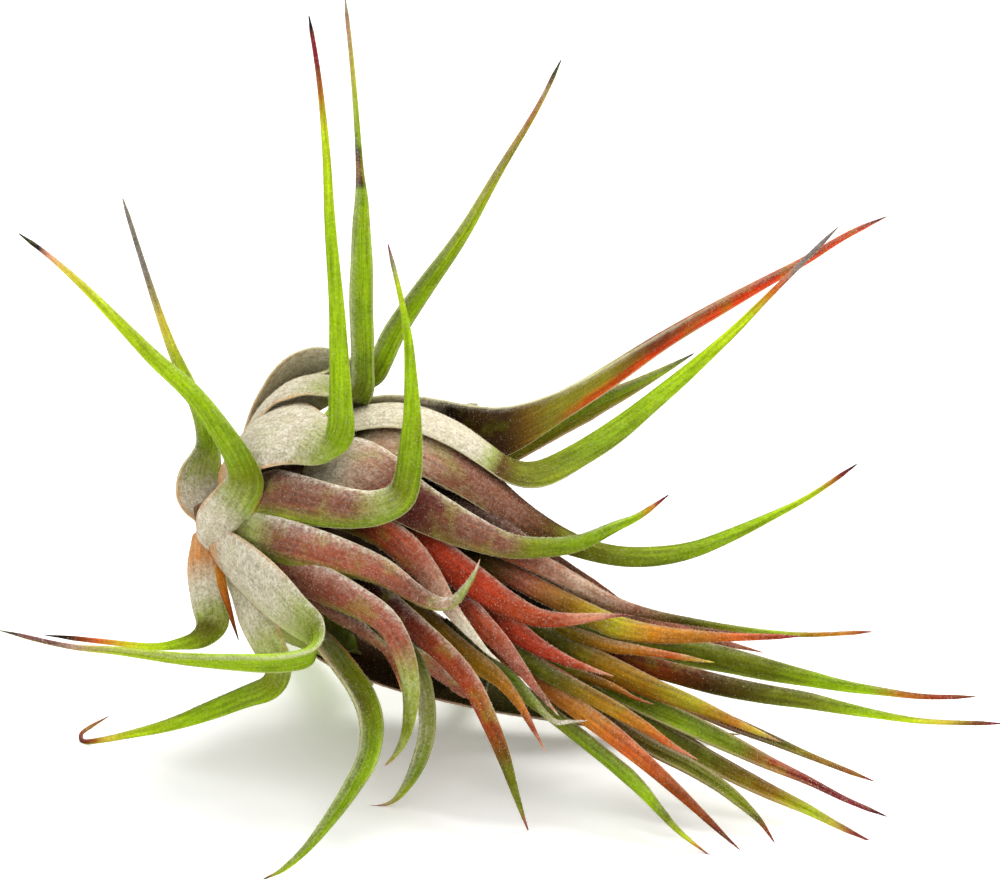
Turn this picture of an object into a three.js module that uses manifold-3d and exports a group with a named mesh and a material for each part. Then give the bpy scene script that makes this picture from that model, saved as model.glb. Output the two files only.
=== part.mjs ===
// An air plant lying on its side: a stem and its leaves, each leaf a solid of its own.
// Lengths in millimetres, +Z up, the surface at Z = 0, the plant's long way along X.
import * as THREE from "three";
import { mergeVertices } from "three/addons/utils/BufferGeometryUtils.js";
import Module from "manifold-3d";

const wasm = await Module();
wasm.setup();
const { Manifold, Mesh } = wasm;

// ---- the frame the leaf routes are written in
// A route point is [across, up, near, width]. Across and up are read in the plane that faces the eye
// and holds the middle of the plant, near is the distance from that plane towards the eye.
const EYE_TILT = THREE.MathUtils.degToRad(20); // how far the eye is above the horizon
const EYE_DISTANCE = 500; // from the eye to the plane of the routes
const EYE_UP = 42.3; // the up value that the eye looks at
const FLOOR_LIFT = EYE_UP * Math.cos(EYE_TILT); // puts across 0, up 0, near 0 on the surface
const CENTRE_X = 0.465;
const CENTRE_Y = 1.884;

// ---- leaf section
const GAP = 0.3; // room between two leaves that lie on each other
const MARGIN_THICKNESS = 0.6;
const SHEATH_THICKNESS = 1.25; // along the middle of a broad sheath
const BLADE_THICKNESS = 1.15; // along the middle of a blade
const TIP_WIDTH = 0.65;
const SHEATH_WIDTH = 7.0; // from this width up the section is nearly flat
const BLADE_WIDTH = 3.2; // from this width down it is a deep channel
const SHEATH_ARC = THREE.MathUtils.degToRad(32); // half angle of the bent section
const BLADE_ARC = THREE.MathUtils.degToRad(74);
const SHEATH_DEPTH = 0.32; // depth of the section over its width
const BLADE_DEPTH = 0.58;
const WIDEST_TURN = 1.5; // a section seen on edge is widened by no more than this
const ROUTE_STEPS = 96; // steps of the smooth line through a route
const LONG_LEAF = 34; // a leaf longer than this gets the greater number of sections
const SECTIONS_LONG = 14;
const SECTIONS_SHORT = 10;
const SMALLEST_DETAIL = 0.03; // faces narrower than this are joined to their neighbours

// ---- stem, with the hidden bases of the innermost leaves grown together with it
const STEM_SIDES = 16;
// [across, up, near, radius]
const STEM = [
  [-39.2, 30.8, -1.0, 3.4],
  [-37.0, 31.2, -1.0, 4.4],
  [-34.5, 31.8, -1.0, 5.6],
  [-31.0, 32.6, -0.5, 8.4],
  [-26.0, 33.0, 0.0, 11.0],
  [-20.0, 33.0, 0.0, 12.0],
  [-14.0, 31.8, 0.5, 11.2],
  [-8.0, 29.5, 1.0, 9.0],
  [-3.0, 26.8, 2.0, 6.6],
  [2.0, 23.2, 3.0, 4.0],
  [6.5, 19.8, 4.0, 1.2],
];

// ---- leaves that can be seen, from the outermost to the innermost
const LEAVES = {
  outer_leaf_1: [
    [-37.0, 28.2, 4.0, 5.6], [-36.4, 31.4, 9.4, 7.0], [-34.4, 34.2, 12.8, 6.2],
    [-33.2, 36.8, 14.6, 4.9], [-33.9, 39.2, 15.8, 4.0], [-35.8, 42.5, 16.5, 3.3],
    [-40.0, 48.2, 16.0, 2.6], [-45.0, 52.8, 15.0, 2.2], [-50.0, 58.0, 13.5, 1.6],
    [-55.0, 63.0, 12.0, 1.0], [-59.0, 66.5, 10.5, 0.7], [-62.4, 69.0, 9.0, 0.6],
  ],
  outer_leaf_6: [
    [-37.0, 28.5, 5.0, 4.6], [-34.0, 26.0, 11.0, 6.0], [-30.0, 22.5, 16.0, 6.5],
    [-26.4, 19.3, 19.5, 5.4], [-23.9, 17.0, 22.0, 4.0], [-24.3, 14.5, 24.0, 3.4],
    [-28.0, 13.4, 25.5, 3.0], [-35.0, 13.4, 26.0, 2.4], [-42.0, 13.8, 26.0, 1.8],
    [-50.0, 14.8, 25.5, 1.2], [-56.0, 15.3, 25.0, 0.8], [-65.0, 17.4, 24.0, 0.6],
  ],
  middle_leaf_1: [
    [-33.0, 34.0, 8.0, 5.4], [-30.0, 35.3, 13.5, 6.4], [-26.0, 34.5, 17.0, 6.6],
    [-20.0, 33.4, 19.0, 5.4], [-16.0, 33.5, 20.0, 4.6], [-13.0, 35.0, 21.0, 4.2],
    [-12.1, 38.0, 21.8, 3.9], [-11.7, 42.0, 22.0, 3.1], [-11.5, 45.0, 22.0, 2.5],
    [-11.6, 50.0, 21.5, 1.9], [-11.9, 55.0, 21.0, 1.3], [-12.7, 60.0, 20.0, 0.8],
    [-14.5, 67.6, 18.5, 0.6],
  ],
  middle_leaf_2: [
    [-34.5, 30.6, 8.5, 5.2], [-31.0, 29.8, 13.5, 6.0], [-27.0, 28.5, 17.0, 6.2],
    [-21.0, 27.0, 19.5, 7.0], [-15.0, 24.8, 21.0, 6.4], [-11.0, 22.2, 21.8, 5.0],
    [-8.0, 20.9, 22.3, 3.4], [-6.0, 21.3, 22.7, 2.3], [-4.5, 23.0, 22.9, 1.6],
    [-3.3, 25.0, 22.9, 1.0], [-2.7, 26.5, 22.8, 0.6],
  ],
  outer_leaf_3: [
    [-35.5, 38.5, 4.0, 5.0], [-32.4, 42.4, 8.5, 8.0], [-28.4, 43.2, 12.5, 9.8],
    [-24.9, 42.4, 15.2, 7.6], [-22.0, 41.3, 17.2, 5.0], [-20.9, 43.6, 18.3, 3.8],
    [-20.9, 47.0, 18.0, 3.2], [-20.9, 50.0, 17.5, 2.9], [-21.1, 55.0, 16.5, 2.6],
    [-21.3, 60.0, 15.5, 2.1], [-22.1, 70.0, 13.5, 1.6], [-22.6, 80.0, 11.0, 1.1],
    [-23.6, 90.0, 8.5, 0.7], [-24.8, 97.3, 6.5, 0.6],
  ],
  middle_leaf_3: [
    [-33.0, 28.0, 8.0, 4.8], [-29.0, 26.3, 13.5, 5.2], [-24.0, 23.7, 17.5, 5.2],
    [-19.0, 21.2, 20.0, 4.4], [-15.0, 18.6, 21.5, 3.9], [-12.9, 15.0, 22.5, 3.2],
    [-11.8, 11.0, 22.5, 2.5], [-11.7, 7.0, 21.5, 2.3], [-12.4, 3.5, 19.5, 1.7],
    [-13.7, 1.2, 17.6, 1.0], [-14.8, 0.0, 16.0, 0.6],
  ],
  outer_leaf_7: [
    [-38.2, 30.0, 1.5, 4.0], [-38.6, 25.8, 4.5, 4.6], [-38.0, 21.4, 6.5, 4.7],
    [-37.5, 18.4, 8.5, 4.4], [-39.2, 16.4, 10.5, 2.9], [-42.0, 15.6, 11.8, 1.5],
    [-45.0, 15.3, 12.5, 1.0], [-52.0, 16.0, 13.0, 0.8], [-59.0, 16.8, 13.0, 0.6],
  ],
  outer_leaf_2: [
    [-37.4, 32.6, -0.5, 4.6], [-38.7, 35.2, 1.2, 7.2], [-38.9, 38.0, 3.0, 6.2],
    [-38.1, 41.4, 4.2, 3.0], [-38.8, 45.2, 4.5, 2.3], [-40.6, 49.6, 4.6, 2.0],
    [-42.5, 53.8, 4.1, 1.5], [-44.4, 59.0, 3.5, 1.1], [-46.6, 65.8, 2.5, 0.8],
    [-49.0, 73.5, 1.0, 0.6],
  ],
  dry_leaf: [
    [-37.6, 28.6, 1.0, 3.0], [-36.8, 25.4, 4.6, 3.4], [-35.8, 22.1, 6.6, 3.4],
    [-34.8, 19.0, 7.8, 2.8], [-34.0, 16.4, 8.4, 1.8],
  ],
  outer_leaf_8: [
    [-35.4, 27.2, 1.0, 4.4], [-33.6, 24.0, 7.0, 5.2], [-32.0, 19.8, 10.2, 5.4],
    [-30.4, 15.8, 11.6, 4.8], [-28.9, 12.6, 12.0, 4.0], [-29.9, 10.3, 11.5, 3.4],
    [-33.0, 9.0, 9.5, 3.0], [-38.0, 7.0, 6.0, 2.6], [-43.0, 5.2, 2.4, 1.7],
    [-48.0, 4.0, -1.6, 1.1], [-52.0, 3.2, -4.9, 0.8], [-54.3, 3.1, -6.6, 0.7],
    [-54.4, 4.0, -7.0, 0.6], [-53.2, 4.9, -7.0, 0.6], [-51.0, 6.2, -7.0, 0.6],
  ],
  outer_leaf_4: [
    [-34.2, 38.4, -0.5, 5.0], [-31.2, 44.4, 1.5, 6.8], [-27.2, 48.9, 3.5, 7.4],
    [-23.0, 49.4, 6.3, 6.4], [-19.6, 47.6, 9.0, 4.2], [-18.1, 49.2, 10.0, 3.1],
    [-18.0, 52.0, 9.8, 3.0], [-18.0, 55.0, 9.3, 3.3], [-18.2, 60.0, 8.3, 3.4],
    [-18.1, 65.0, 7.3, 3.1], [-18.1, 70.0, 6.2, 2.5], [-18.0, 73.5, 5.4, 2.0],
    [-18.2, 77.0, 4.6, 1.0], [-18.5, 82.0, 3.8, 0.9], [-19.1, 90.0, 2.3, 0.7],
    [-20.1, 99.5, 0.5, 0.6],
  ],
  outer_leaf_5: [
    [-33.0, 38.8, -5.0, 4.6], [-30.2, 46.2, -6.0, 5.8], [-26.6, 50.8, -5.4, 6.2],
    [-22.6, 52.2, -4.0, 5.4], [-18.9, 51.0, -2.4, 4.2], [-16.8, 50.8, -1.4, 3.4],
    [-15.5, 52.8, -1.2, 3.1], [-14.0, 56.0, -2.0, 3.2], [-10.0, 61.9, -3.5, 2.7],
    [-5.0, 68.8, -5.0, 1.9], [0.0, 77.4, -7.0, 1.2], [5.0, 85.6, -9.0, 0.7],
    [7.9, 91.5, -10.5, 0.6],
  ],
  outer_leaf_9: [
    [-27.0, 21.0, 8.0, 3.6], [-24.0, 17.2, 12.5, 3.8], [-20.8, 13.2, 16.0, 3.8],
    [-18.2, 9.4, 19.0, 3.8], [-16.9, 5.5, 22.0, 3.4], [-17.3, 1.0, 25.0, 3.0],
    [-19.4, -3.0, 27.5, 2.5], [-22.1, -7.0, 29.3, 1.9], [-25.3, -11.0, 30.6, 1.2],
    [-28.5, -13.8, 31.2, 0.8], [-30.6, -14.8, 31.2, 0.6],
  ],
  middle_leaf_4: [
    [-32.0, 27.3, 5.5, 4.6], [-28.5, 25.4, 9.0, 5.4], [-25.0, 22.9, 12.5, 5.8],
    [-21.4, 19.8, 15.0, 5.6], [-18.0, 17.7, 16.8, 5.0], [-15.1, 15.2, 17.9, 3.8],
    [-13.5, 12.4, 18.4, 2.2], [-12.8, 9.8, 18.5, 0.8],
  ],
  middle_leaf_10: [
    [-23.0, 33.4, 11.5, 4.4], [-18.5, 32.0, 15.5, 4.5], [-14.0, 29.4, 17.5, 4.2],
    [-9.6, 25.0, 18.6, 4.2], [-6.2, 20.0, 19.4, 4.4], [-3.5, 16.8, 20.0, 3.1],
    [-1.5, 14.6, 20.4, 1.6], [-0.1, 13.5, 20.5, 0.7],
  ],
  middle_leaf_9: [
    [-25.0, 38.0, 10.0, 6.0], [-20.5, 39.2, 14.0, 7.8], [-16.6, 37.9, 15.9, 7.6],
    [-12.0, 34.5, 16.8, 6.5], [-7.0, 31.8, 16.6, 5.5], [-3.0, 30.0, 16.2, 4.5],
    [1.0, 28.6, 15.9, 3.4], [5.0, 28.3, 15.7, 2.8], [10.0, 28.8, 15.5, 2.4],
    [15.0, 31.0, 15.4, 1.5], [18.0, 32.3, 15.3, 1.0], [21.8, 35.0, 15.2, 0.6],
  ],
  middle_leaf_7: [
    [-24.0, 43.2, 5.5, 5.6], [-18.0, 45.4, 9.0, 5.2], [-12.0, 45.6, 10.0, 5.2],
    [-6.0, 43.3, 10.0, 4.9], [-1.8, 40.5, 9.8, 4.5], [1.6, 38.3, 9.3, 4.5],
    [5.0, 38.0, 8.6, 4.4], [10.0, 40.4, 7.2, 4.0], [15.0, 43.6, 5.6, 3.4],
    [20.0, 47.5, 4.0, 2.7], [25.0, 51.6, 2.5, 2.0], [30.0, 56.0, 1.0, 1.4],
    [35.0, 61.0, -1.0, 0.9], [43.9, 69.8, -4.5, 0.6],
  ],
  middle_leaf_6: [
    [-21.0, 44.4, 1.0, 5.0], [-15.5, 45.4, 3.2, 6.6], [-9.5, 44.4, 3.8, 7.4],
    [-4.2, 43.4, 3.2, 7.6], [-0.4, 43.3, 2.4, 7.0], [2.6, 44.2, 1.3, 5.8],
    [5.4, 45.5, 0.2, 4.8], [8.3, 47.1, -1.2, 4.1], [12.0, 49.3, -2.9, 3.6],
    [15.6, 51.6, -4.2, 3.2], [20.0, 54.5, -6.0, 2.7], [25.0, 57.5, -8.0, 2.3],
    [30.0, 60.3, -10.0, 2.0], [35.0, 63.0, -12.0, 1.6], [40.0, 65.7, -14.0, 1.2],
    [45.0, 68.8, -16.0, 0.9], [50.2, 71.2, -18.0, 0.6],
  ],
  middle_leaf_8: [
    [-20.0, 41.5, 8.5, 5.2], [-16.0, 42.8, 11.0, 6.0], [-12.0, 41.8, 12.4, 6.2],
    [-8.0, 39.8, 12.9, 6.0], [-3.0, 36.9, 12.6, 5.5], [2.0, 33.1, 11.6, 4.5],
    [6.0, 30.5, 10.8, 3.8], [10.0, 28.6, 10.4, 3.0], [15.0, 27.3, 10.0, 2.8],
    [20.0, 27.2, 9.7, 2.8], [25.0, 28.0, 9.4, 2.4], [30.0, 29.9, 9.0, 1.9],
    [35.0, 32.2, 8.5, 1.2], [40.0, 34.7, 8.0, 0.8], [46.3, 39.0, 7.0, 0.6],
  ],
  middle_leaf_11: [
    [-19.0, 24.5, 10.0, 3.5], [-14.5, 20.6, 13.6, 3.6], [-10.0, 16.8, 16.4, 3.5],
    [-6.2, 13.2, 18.2, 3.1], [-3.6, 10.0, 19.6, 2.9], [-1.6, 6.0, 20.6, 2.5],
    [0.5, 1.0, 20.9, 2.0], [2.0, -3.5, 20.2, 1.5], [3.0, -6.5, 19.2, 1.0],
    [3.7, -8.5, 18.1, 0.7],
  ],
  middle_leaf_5: [
    [-20.0, 20.0, 4.0, 3.0], [-15.5, 17.4, 8.5, 3.0], [-12.2, 14.6, 12.5, 2.8],
    [-10.4, 11.5, 15.0, 2.6], [-9.6, 8.0, 16.2, 2.4], [-9.6, 4.0, 16.4, 2.4],
    [-10.6, 0.3, 15.4, 2.2], [-12.3, -3.0, 13.7, 1.4], [-14.2, -5.0, 12.3, 0.8],
    [-16.7, -5.5, 11.4, 0.6],
  ],
  inner_leaf_4: [
    [-15.0, 31.0, 10.5, 4.0], [-10.8, 29.2, 13.6, 4.5], [-7.0, 26.4, 15.4, 4.5],
    [-3.0, 23.4, 16.0, 4.4], [1.0, 20.8, 16.2, 3.5], [5.0, 19.1, 16.4, 2.5],
    [9.0, 18.9, 16.6, 1.8], [13.0, 19.3, 16.8, 1.0], [16.6, 19.5, 16.9, 0.6],
  ],
  inner_leaf_6: [
    [-10.0, 25.0, 10.0, 3.2], [-6.4, 22.0, 13.8, 3.4], [-3.0, 18.6, 16.2, 3.7],
    [0.0, 15.8, 17.8, 3.9], [2.5, 12.8, 18.8, 3.6], [4.8, 9.8, 19.4, 2.4],
    [6.5, 7.8, 19.8, 1.3], [7.5, 6.6, 20.0, 0.7],
  ],
  inner_leaf_1: [
    [-12.0, 36.0, 9.0, 2.6], [-5.0, 33.9, 12.9, 2.3], [0.0, 31.3, 13.2, 2.1],
    [3.0, 29.3, 12.8, 1.7], [7.0, 26.9, 10.9, 1.3], [11.0, 24.4, 9.2, 1.0],
    [15.0, 22.0, 8.0, 0.7],
  ],
  inner_leaf_2: [
    [-9.0, 31.5, 9.5, 2.8], [-3.0, 29.4, 12.0, 2.7], [2.0, 27.4, 13.0, 2.6],
    [6.0, 25.7, 13.2, 2.8], [10.0, 23.5, 13.0, 2.5], [15.0, 21.0, 12.6, 1.8],
    [20.0, 19.5, 12.2, 1.4], [25.0, 18.6, 11.9, 1.1], [30.0, 17.8, 11.7, 0.9],
    [35.0, 17.2, 11.6, 0.8], [40.0, 16.9, 11.5, 0.7], [48.1, 17.3, 11.4, 0.6],
  ],
  inner_leaf_3: [
    [-8.0, 29.0, 7.5, 2.8],
    [-4.5, 27.5, 9.0, 2.8], [-0.5, 25.8, 11.4, 3.0], [2.8, 24.0, 12.8, 3.0],
    [6.4, 22.1, 13.8, 3.0], [10.4, 20.2, 14.2, 2.7], [15.0, 18.0, 14.4, 3.3],
    [20.0, 17.0, 14.5, 2.6], [25.0, 16.7, 14.5, 1.8], [30.0, 16.6, 14.5, 1.2],
    [38.7, 16.7, 14.5, 0.6],
  ],
  inner_leaf_5: [
    [-10.5, 26.0, 7.0, 2.6],
    [-7.0, 23.0, 9.0, 2.6], [-3.0, 20.4, 12.0, 2.8], [1.0, 17.9, 14.2, 2.9],
    [5.0, 15.3, 16.0, 3.1], [9.0, 13.4, 17.2, 2.0], [12.0, 12.4, 17.9, 1.1],
    [14.6, 11.6, 18.3, 0.6],
  ],
  inner_leaf_7: [
    [-13.0, 23.0, 6.5, 2.4],
    [-10.0, 19.5, 8.5, 2.4], [-6.4, 16.2, 12.0, 2.5], [-3.0, 13.2, 14.6, 2.6],
    [0.0, 11.0, 16.2, 2.8], [2.5, 8.0, 17.2, 2.4], [4.2, 5.0, 17.8, 1.5],
    [5.9, 1.9, 18.2, 0.6],
  ],
  heart_leaf_11: [
    [-6.5, 21.6, 5.5, 2.2],
    [-2.0, 18.0, 8.0, 2.2], [2.0, 14.6, 12.5, 2.3], [6.0, 11.9, 16.0, 2.3],
    [11.0, 9.3, 18.5, 2.3], [15.0, 7.1, 20.0, 2.2], [19.0, 4.8, 21.0, 1.6],
    [22.0, 2.8, 21.6, 1.0], [25.6, 0.8, 22.0, 0.6],
  ],
  heart_leaf_12: [
    [-2.0, 18.8, 5.5, 1.6],
    [4.0, 14.8, 9.0, 1.5], [8.0, 12.7, 13.2, 1.6], [12.0, 11.2, 15.6, 1.4],
    [15.0, 10.1, 16.9, 1.3], [17.5, 8.8, 17.6, 0.9], [19.8, 8.0, 18.0, 0.6],
  ],
  inner_leaf_9: [
    [-4.5, 19.6, 6.5, 1.6],
    [0.0, 16.0, 9.5, 1.5], [4.6, 13.6, 13.4, 1.5], [8.0, 12.0, 15.6, 1.3],
    [10.0, 11.0, 16.6, 1.0], [12.0, 10.0, 17.3, 0.6],
  ],
  inner_leaf_8: [
    [-7.0, 18.4, 7.5, 1.6],
    [-2.0, 14.0, 11.0, 1.5], [2.0, 11.2, 14.6, 1.5], [4.5, 8.4, 16.6, 1.2],
    [6.2, 6.4, 17.6, 0.9], [7.5, 5.6, 18.1, 0.8], [9.0, 5.7, 18.5, 0.7],
    [11.2, 5.8, 18.9, 0.6],
  ],
  heart_leaf_9: [
    [-5.0, 18.4, 5.5, 2.6],
    [1.0, 14.0, 9.5, 2.5], [6.0, 10.2, 14.0, 2.8], [10.0, 7.2, 17.0, 2.9],
    [15.0, 3.5, 19.8, 2.8], [20.0, -0.6, 22.0, 2.2], [24.0, -4.2, 23.4, 1.5],
    [28.0, -8.0, 24.2, 0.9], [31.1, -10.9, 24.0, 0.6],
  ],
  heart_leaf_3: [
    [-4.0, 22.0, 4.5, 2.8],
    [2.0, 18.4, 7.5, 2.8], [6.0, 16.2, 10.4, 3.3], [10.0, 14.4, 12.6, 3.4],
    [15.0, 12.0, 14.6, 3.5], [20.0, 9.8, 16.0, 2.8], [25.0, 7.9, 17.1, 2.2],
    [30.0, 5.8, 18.0, 1.3], [33.0, 4.5, 18.5, 0.9], [36.3, 3.1, 19.0, 0.6],
  ],
  inner_leaf_10: [
    [-1.0, 21.4, 5.5, 2.2],
    [5.0, 18.6, 8.5, 2.1], [10.0, 16.8, 12.6, 2.2], [14.0, 15.5, 14.0, 2.0],
    [18.0, 14.9, 14.8, 1.5], [22.0, 14.3, 15.3, 1.0], [27.6, 13.4, 15.8, 0.6],
  ],
  heart_leaf_2: [
    [-4.0, 22.4, 2.0, 3.0],
    [3.0, 18.6, 5.0, 2.6], [10.0, 15.6, 8.8, 2.8], [16.0, 13.6, 11.0, 2.8],
    [22.0, 12.0, 12.4, 2.8], [28.0, 10.4, 13.5, 3.0], [34.0, 9.2, 14.3, 2.7],
    [40.0, 8.3, 15.0, 2.4], [45.0, 7.3, 15.5, 1.7], [50.0, 6.4, 16.0, 1.1],
    [55.0, 5.7, 16.4, 0.8], [65.0, 5.4, 17.0, 0.6],
  ],
  heart_leaf_1: [
    [-4.0, 23.6, -3.0, 3.4],
    [3.0, 20.0, 1.5, 2.8], [10.0, 17.2, 4.5, 3.4], [20.0, 15.2, 7.4, 3.6],
    [28.0, 13.8, 9.2, 3.7], [35.0, 12.2, 10.4, 3.0], [40.0, 11.2, 11.0, 2.3],
    [45.0, 10.2, 11.6, 1.6], [50.0, 9.5, 12.0, 1.1], [55.0, 8.9, 12.3, 0.8],
    [61.6, 8.9, 12.6, 0.6],
  ],
  heart_leaf_8: [
    [-4.5, 18.2, 2.5, 2.4],
    [3.0, 13.0, 6.5, 2.2], [9.0, 9.2, 11.5, 2.3], [14.0, 5.5, 15.2, 2.3],
    [20.0, 2.0, 18.4, 2.2], [25.0, -0.5, 20.5, 2.2], [29.0, -3.0, 21.8, 1.9],
    [32.0, -5.5, 22.5, 1.5], [34.0, -7.5, 22.7, 1.0], [35.6, -9.9, 22.4, 0.6],
  ],
  heart_leaf_10: [
    [-6.5, 17.4, 2.0, 2.2],
    [0.0, 11.5, 6.0, 2.0], [5.0, 7.9, 10.5, 2.2], [10.0, 4.0, 14.4, 2.3],
    [14.0, 0.8, 17.3, 2.3], [18.0, -2.7, 19.9, 2.4], [21.0, -6.0, 22.0, 1.8],
    [23.5, -8.7, 23.7, 1.1], [27.4, -11.8, 24.6, 0.6],
  ],
  heart_leaf_6: [
    [-4.0, 18.8, 0.5, 2.6],
    [5.0, 12.6, 4.5, 2.5], [11.0, 9.6, 9.0, 2.8], [17.0, 6.1, 12.8, 2.8],
    [24.0, 2.3, 16.4, 2.8], [30.0, -1.0, 18.6, 2.6], [35.0, -3.5, 19.8, 2.2],
    [40.0, -5.8, 20.5, 1.5], [44.0, -7.9, 20.9, 0.9], [48.0, -9.8, 20.9, 0.7],
  ],
  heart_leaf_5: [
    [-3.0, 19.6, -1.5, 2.6],
    [5.0, 14.6, 2.5, 2.4], [11.0, 11.5, 7.5, 2.8], [17.0, 8.6, 11.4, 3.0],
    [24.0, 5.4, 15.2, 3.0], [30.0, 2.6, 17.6, 2.6], [35.0, 0.2, 19.2, 1.9],
    [40.0, -2.0, 20.2, 1.2], [45.0, -4.5, 21.0, 0.8], [50.1, -6.6, 21.5, 0.6],
  ],
  heart_leaf_7: [
    [-1.5, 19.2, -3.0, 2.4],
    [6.0, 13.0, 1.0, 2.0], [12.0, 9.9, 5.2, 2.2], [17.0, 7.0, 8.6, 2.2],
    [22.0, 4.3, 11.4, 2.0], [28.0, 1.0, 14.0, 1.4], [32.0, -1.2, 15.4, 0.7],
  ],
  heart_leaf_4: [
    [0.0, 20.4, -2.5, 2.4],
    [7.0, 16.2, 1.0, 2.2], [13.0, 13.2, 5.2, 2.4], [20.0, 9.8, 9.4, 2.4],
    [30.0, 5.4, 14.0, 2.0], [35.0, 3.4, 15.8, 1.5], [40.0, 1.3, 17.2, 1.0],
    [48.4, -2.0, 19.0, 0.6],
  ],
  inner_leaf_11: [
    [-8.0, 35.5, -5.0, 3.0], [-1.0, 39.6, -7.0, 3.4], [6.0, 43.6, -8.0, 3.4],
    [12.0, 46.8, -9.0, 3.4], [16.5, 48.8, -9.8, 3.5], [20.6, 50.9, -10.5, 3.0],
    [23.2, 52.3, -11.0, 1.9], [25.1, 53.4, -11.4, 1.1],
  ],
};

// ---- leaves on the far side, hidden by the others: rings of a rule with seeded draws
const HIDDEN_SEED = 4124;
const HIDDEN_RINGS = [
  // where the sheath lies: [across, up, near] of the stem's middle, and how far out from it
  {
    name: "back_outer_leaf", count: 5, first: 112, step: 41,
    seat: [-35.0, 31.8, -1.0], seatOut: 5.5, waist: [-29.0, 32.6, 0.0], waistOut: 14.5,
    shoulder: [-22.0, 32.8, 0.0], shoulderOut: 18.0, sheath: 10.0, blade: 3.4,
    reach: [-27.0, 31.0, -51.0], spread: [9.0, 10.4, 6.0],
  },
  {
    name: "back_middle_leaf", count: 4, first: 130, step: 50,
    seat: [-23.0, 33.0, 0.0], seatOut: 12.4, waist: [-15.0, 32.2, 1.0], waistOut: 16.2,
    shoulder: [-8.0, 29.8, 1.0], shoulderOut: 17.6, sheath: 10.5, blade: 3.2,
    reach: [-8.0, 27.0, -46.0], spread: [6.0, 7.0, 6.0],
  },
  {
    name: "back_inner_leaf", count: 1, first: 168, step: 58,
    seat: [-9.0, 30.0, 1.0], seatOut: 9.4, waist: [-2.0, 26.0, 1.0], waistOut: 11.0,
    shoulder: [3.0, 22.5, 1.0], shoulderOut: 12.0, sheath: 7.4, blade: 2.8,
    reach: [5.0, 21.0, -36.0], spread: [1.5, 4.0, 4.0],
  },
];
// [leaf in front, how much farther away its root and its tip are, shares of its width there, share of
// its length]
const HIDDEN_BEHIND = { back_heart_leaf_1: ["heart_leaf_1", 8.0, 20.0, 1.5, 0.6, 0.7] };
const HIDDEN_UNDER = {
  back_inner_leaf_2: [
    [-33.0, 26.0, -4.0, 5.0], [-28.0, 20.5, -8.0, 7.0], [-22.0, 16.0, -10.0, 8.0],
    [-15.0, 12.8, -10.0, 8.0], [-7.0, 10.2, -9.0, 7.0], [1.0, 8.2, -8.0, 5.4], [9.0, 6.6, -7.0, 4.0],
    [17.0, 5.4, -6.6, 2.8], [24.0, 4.6, -6.4, 1.8], [31.0, 4.0, -6.2, 0.7],
  ],
  back_inner_leaf_3: [
    [-24.0, 24.0, -6.0, 6.0], [-18.0, 20.8, -6.6, 8.6], [-11.0, 17.8, -6.4, 9.4],
    [-4.0, 15.2, -6.0, 8.6], [3.0, 12.8, -5.8, 6.8], [9.0, 10.8, -6.0, 5.0], [15.0, 9.2, -6.6, 3.4],
    [20.0, 8.2, -7.2, 2.2], [25.0, 7.6, -8.0, 0.8],
  ],
};
const HIDDEN_CROWN = {
  back_heart_leaf_2: [
    [-18.0, 41.0, -1.0, 5.0], [-12.5, 40.6, 1.5, 7.0], [-7.0, 38.4, 3.2, 7.8],
    [-2.0, 34.6, 3.6, 6.8], [2.6, 30.0, 2.6, 5.2], [6.6, 26.0, 1.0, 3.8], [11.0, 22.6, -1.0, 2.9],
    [18.0, 19.4, -4.0, 2.2], [26.0, 16.6, -8.0, 1.5], [34.0, 14.6, -12.0, 0.7],
  ],
  back_heart_leaf_3: [
    [-16.0, 40.0, -8.0, 5.0], [-10.0, 38.6, -7.5, 7.0], [-5.0, 35.8, -7.0, 7.4],
    [0.0, 31.6, -6.5, 6.4], [4.5, 27.4, -6.8, 4.8], [9.0, 23.8, -8.0, 3.5],
    [15.0, 20.6, -11.0, 2.6], [22.0, 18.4, -15.0, 2.0], [30.0, 17.4, -20.0, 1.4],
    [36.0, 17.2, -24.0, 0.7],
  ],
};

// Leaves that are twisted: degrees about their length, and where along the route the twist starts and
// is complete.
const TWISTS = {
  outer_leaf_3: [60.0, 0.2, 0.42],
  outer_leaf_4: [-45.0, 0.15, 0.35],
  outer_leaf_5: [-30.0, 0.1, 0.3],
  outer_leaf_9: [45.0, -0.2, 0.25],
  middle_leaf_5: [30.0, -0.2, 0.1],
  middle_leaf_6: [-65.0, -0.1, 0.14],
  inner_leaf_11: [-30.0, -0.2, 0.1],
  heart_leaf_1: [-45.0, -0.1, 0.1],
  heart_leaf_2: [-60.0, -0.1, 0.1],
  heart_leaf_5: [60.0, -0.1, 0.1],
  heart_leaf_6: [60.0, -0.1, 0.1],
  heart_leaf_8: [60.0, -0.1, 0.1],
};

// ---- seen frame to the part's frame
function toPart(across, up, near) {
  const closer = (EYE_DISTANCE - near) / EYE_DISTANCE;
  const c = (up - EYE_UP) * closer;
  return new THREE.Vector3(
    across * closer - CENTRE_X,
    c * Math.sin(EYE_TILT) - near * Math.cos(EYE_TILT) - CENTRE_Y,
    c * Math.cos(EYE_TILT) + near * Math.sin(EYE_TILT) + FLOOR_LIFT,
  );
}

// The eye is on the line through across 0, up EYE_UP, and that line is tilted down towards the plant.
const EYE = new THREE.Vector3(
  -CENTRE_X,
  -EYE_DISTANCE * Math.cos(EYE_TILT) - CENTRE_Y,
  EYE_DISTANCE * Math.sin(EYE_TILT) + FLOOR_LIFT,
);

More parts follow.
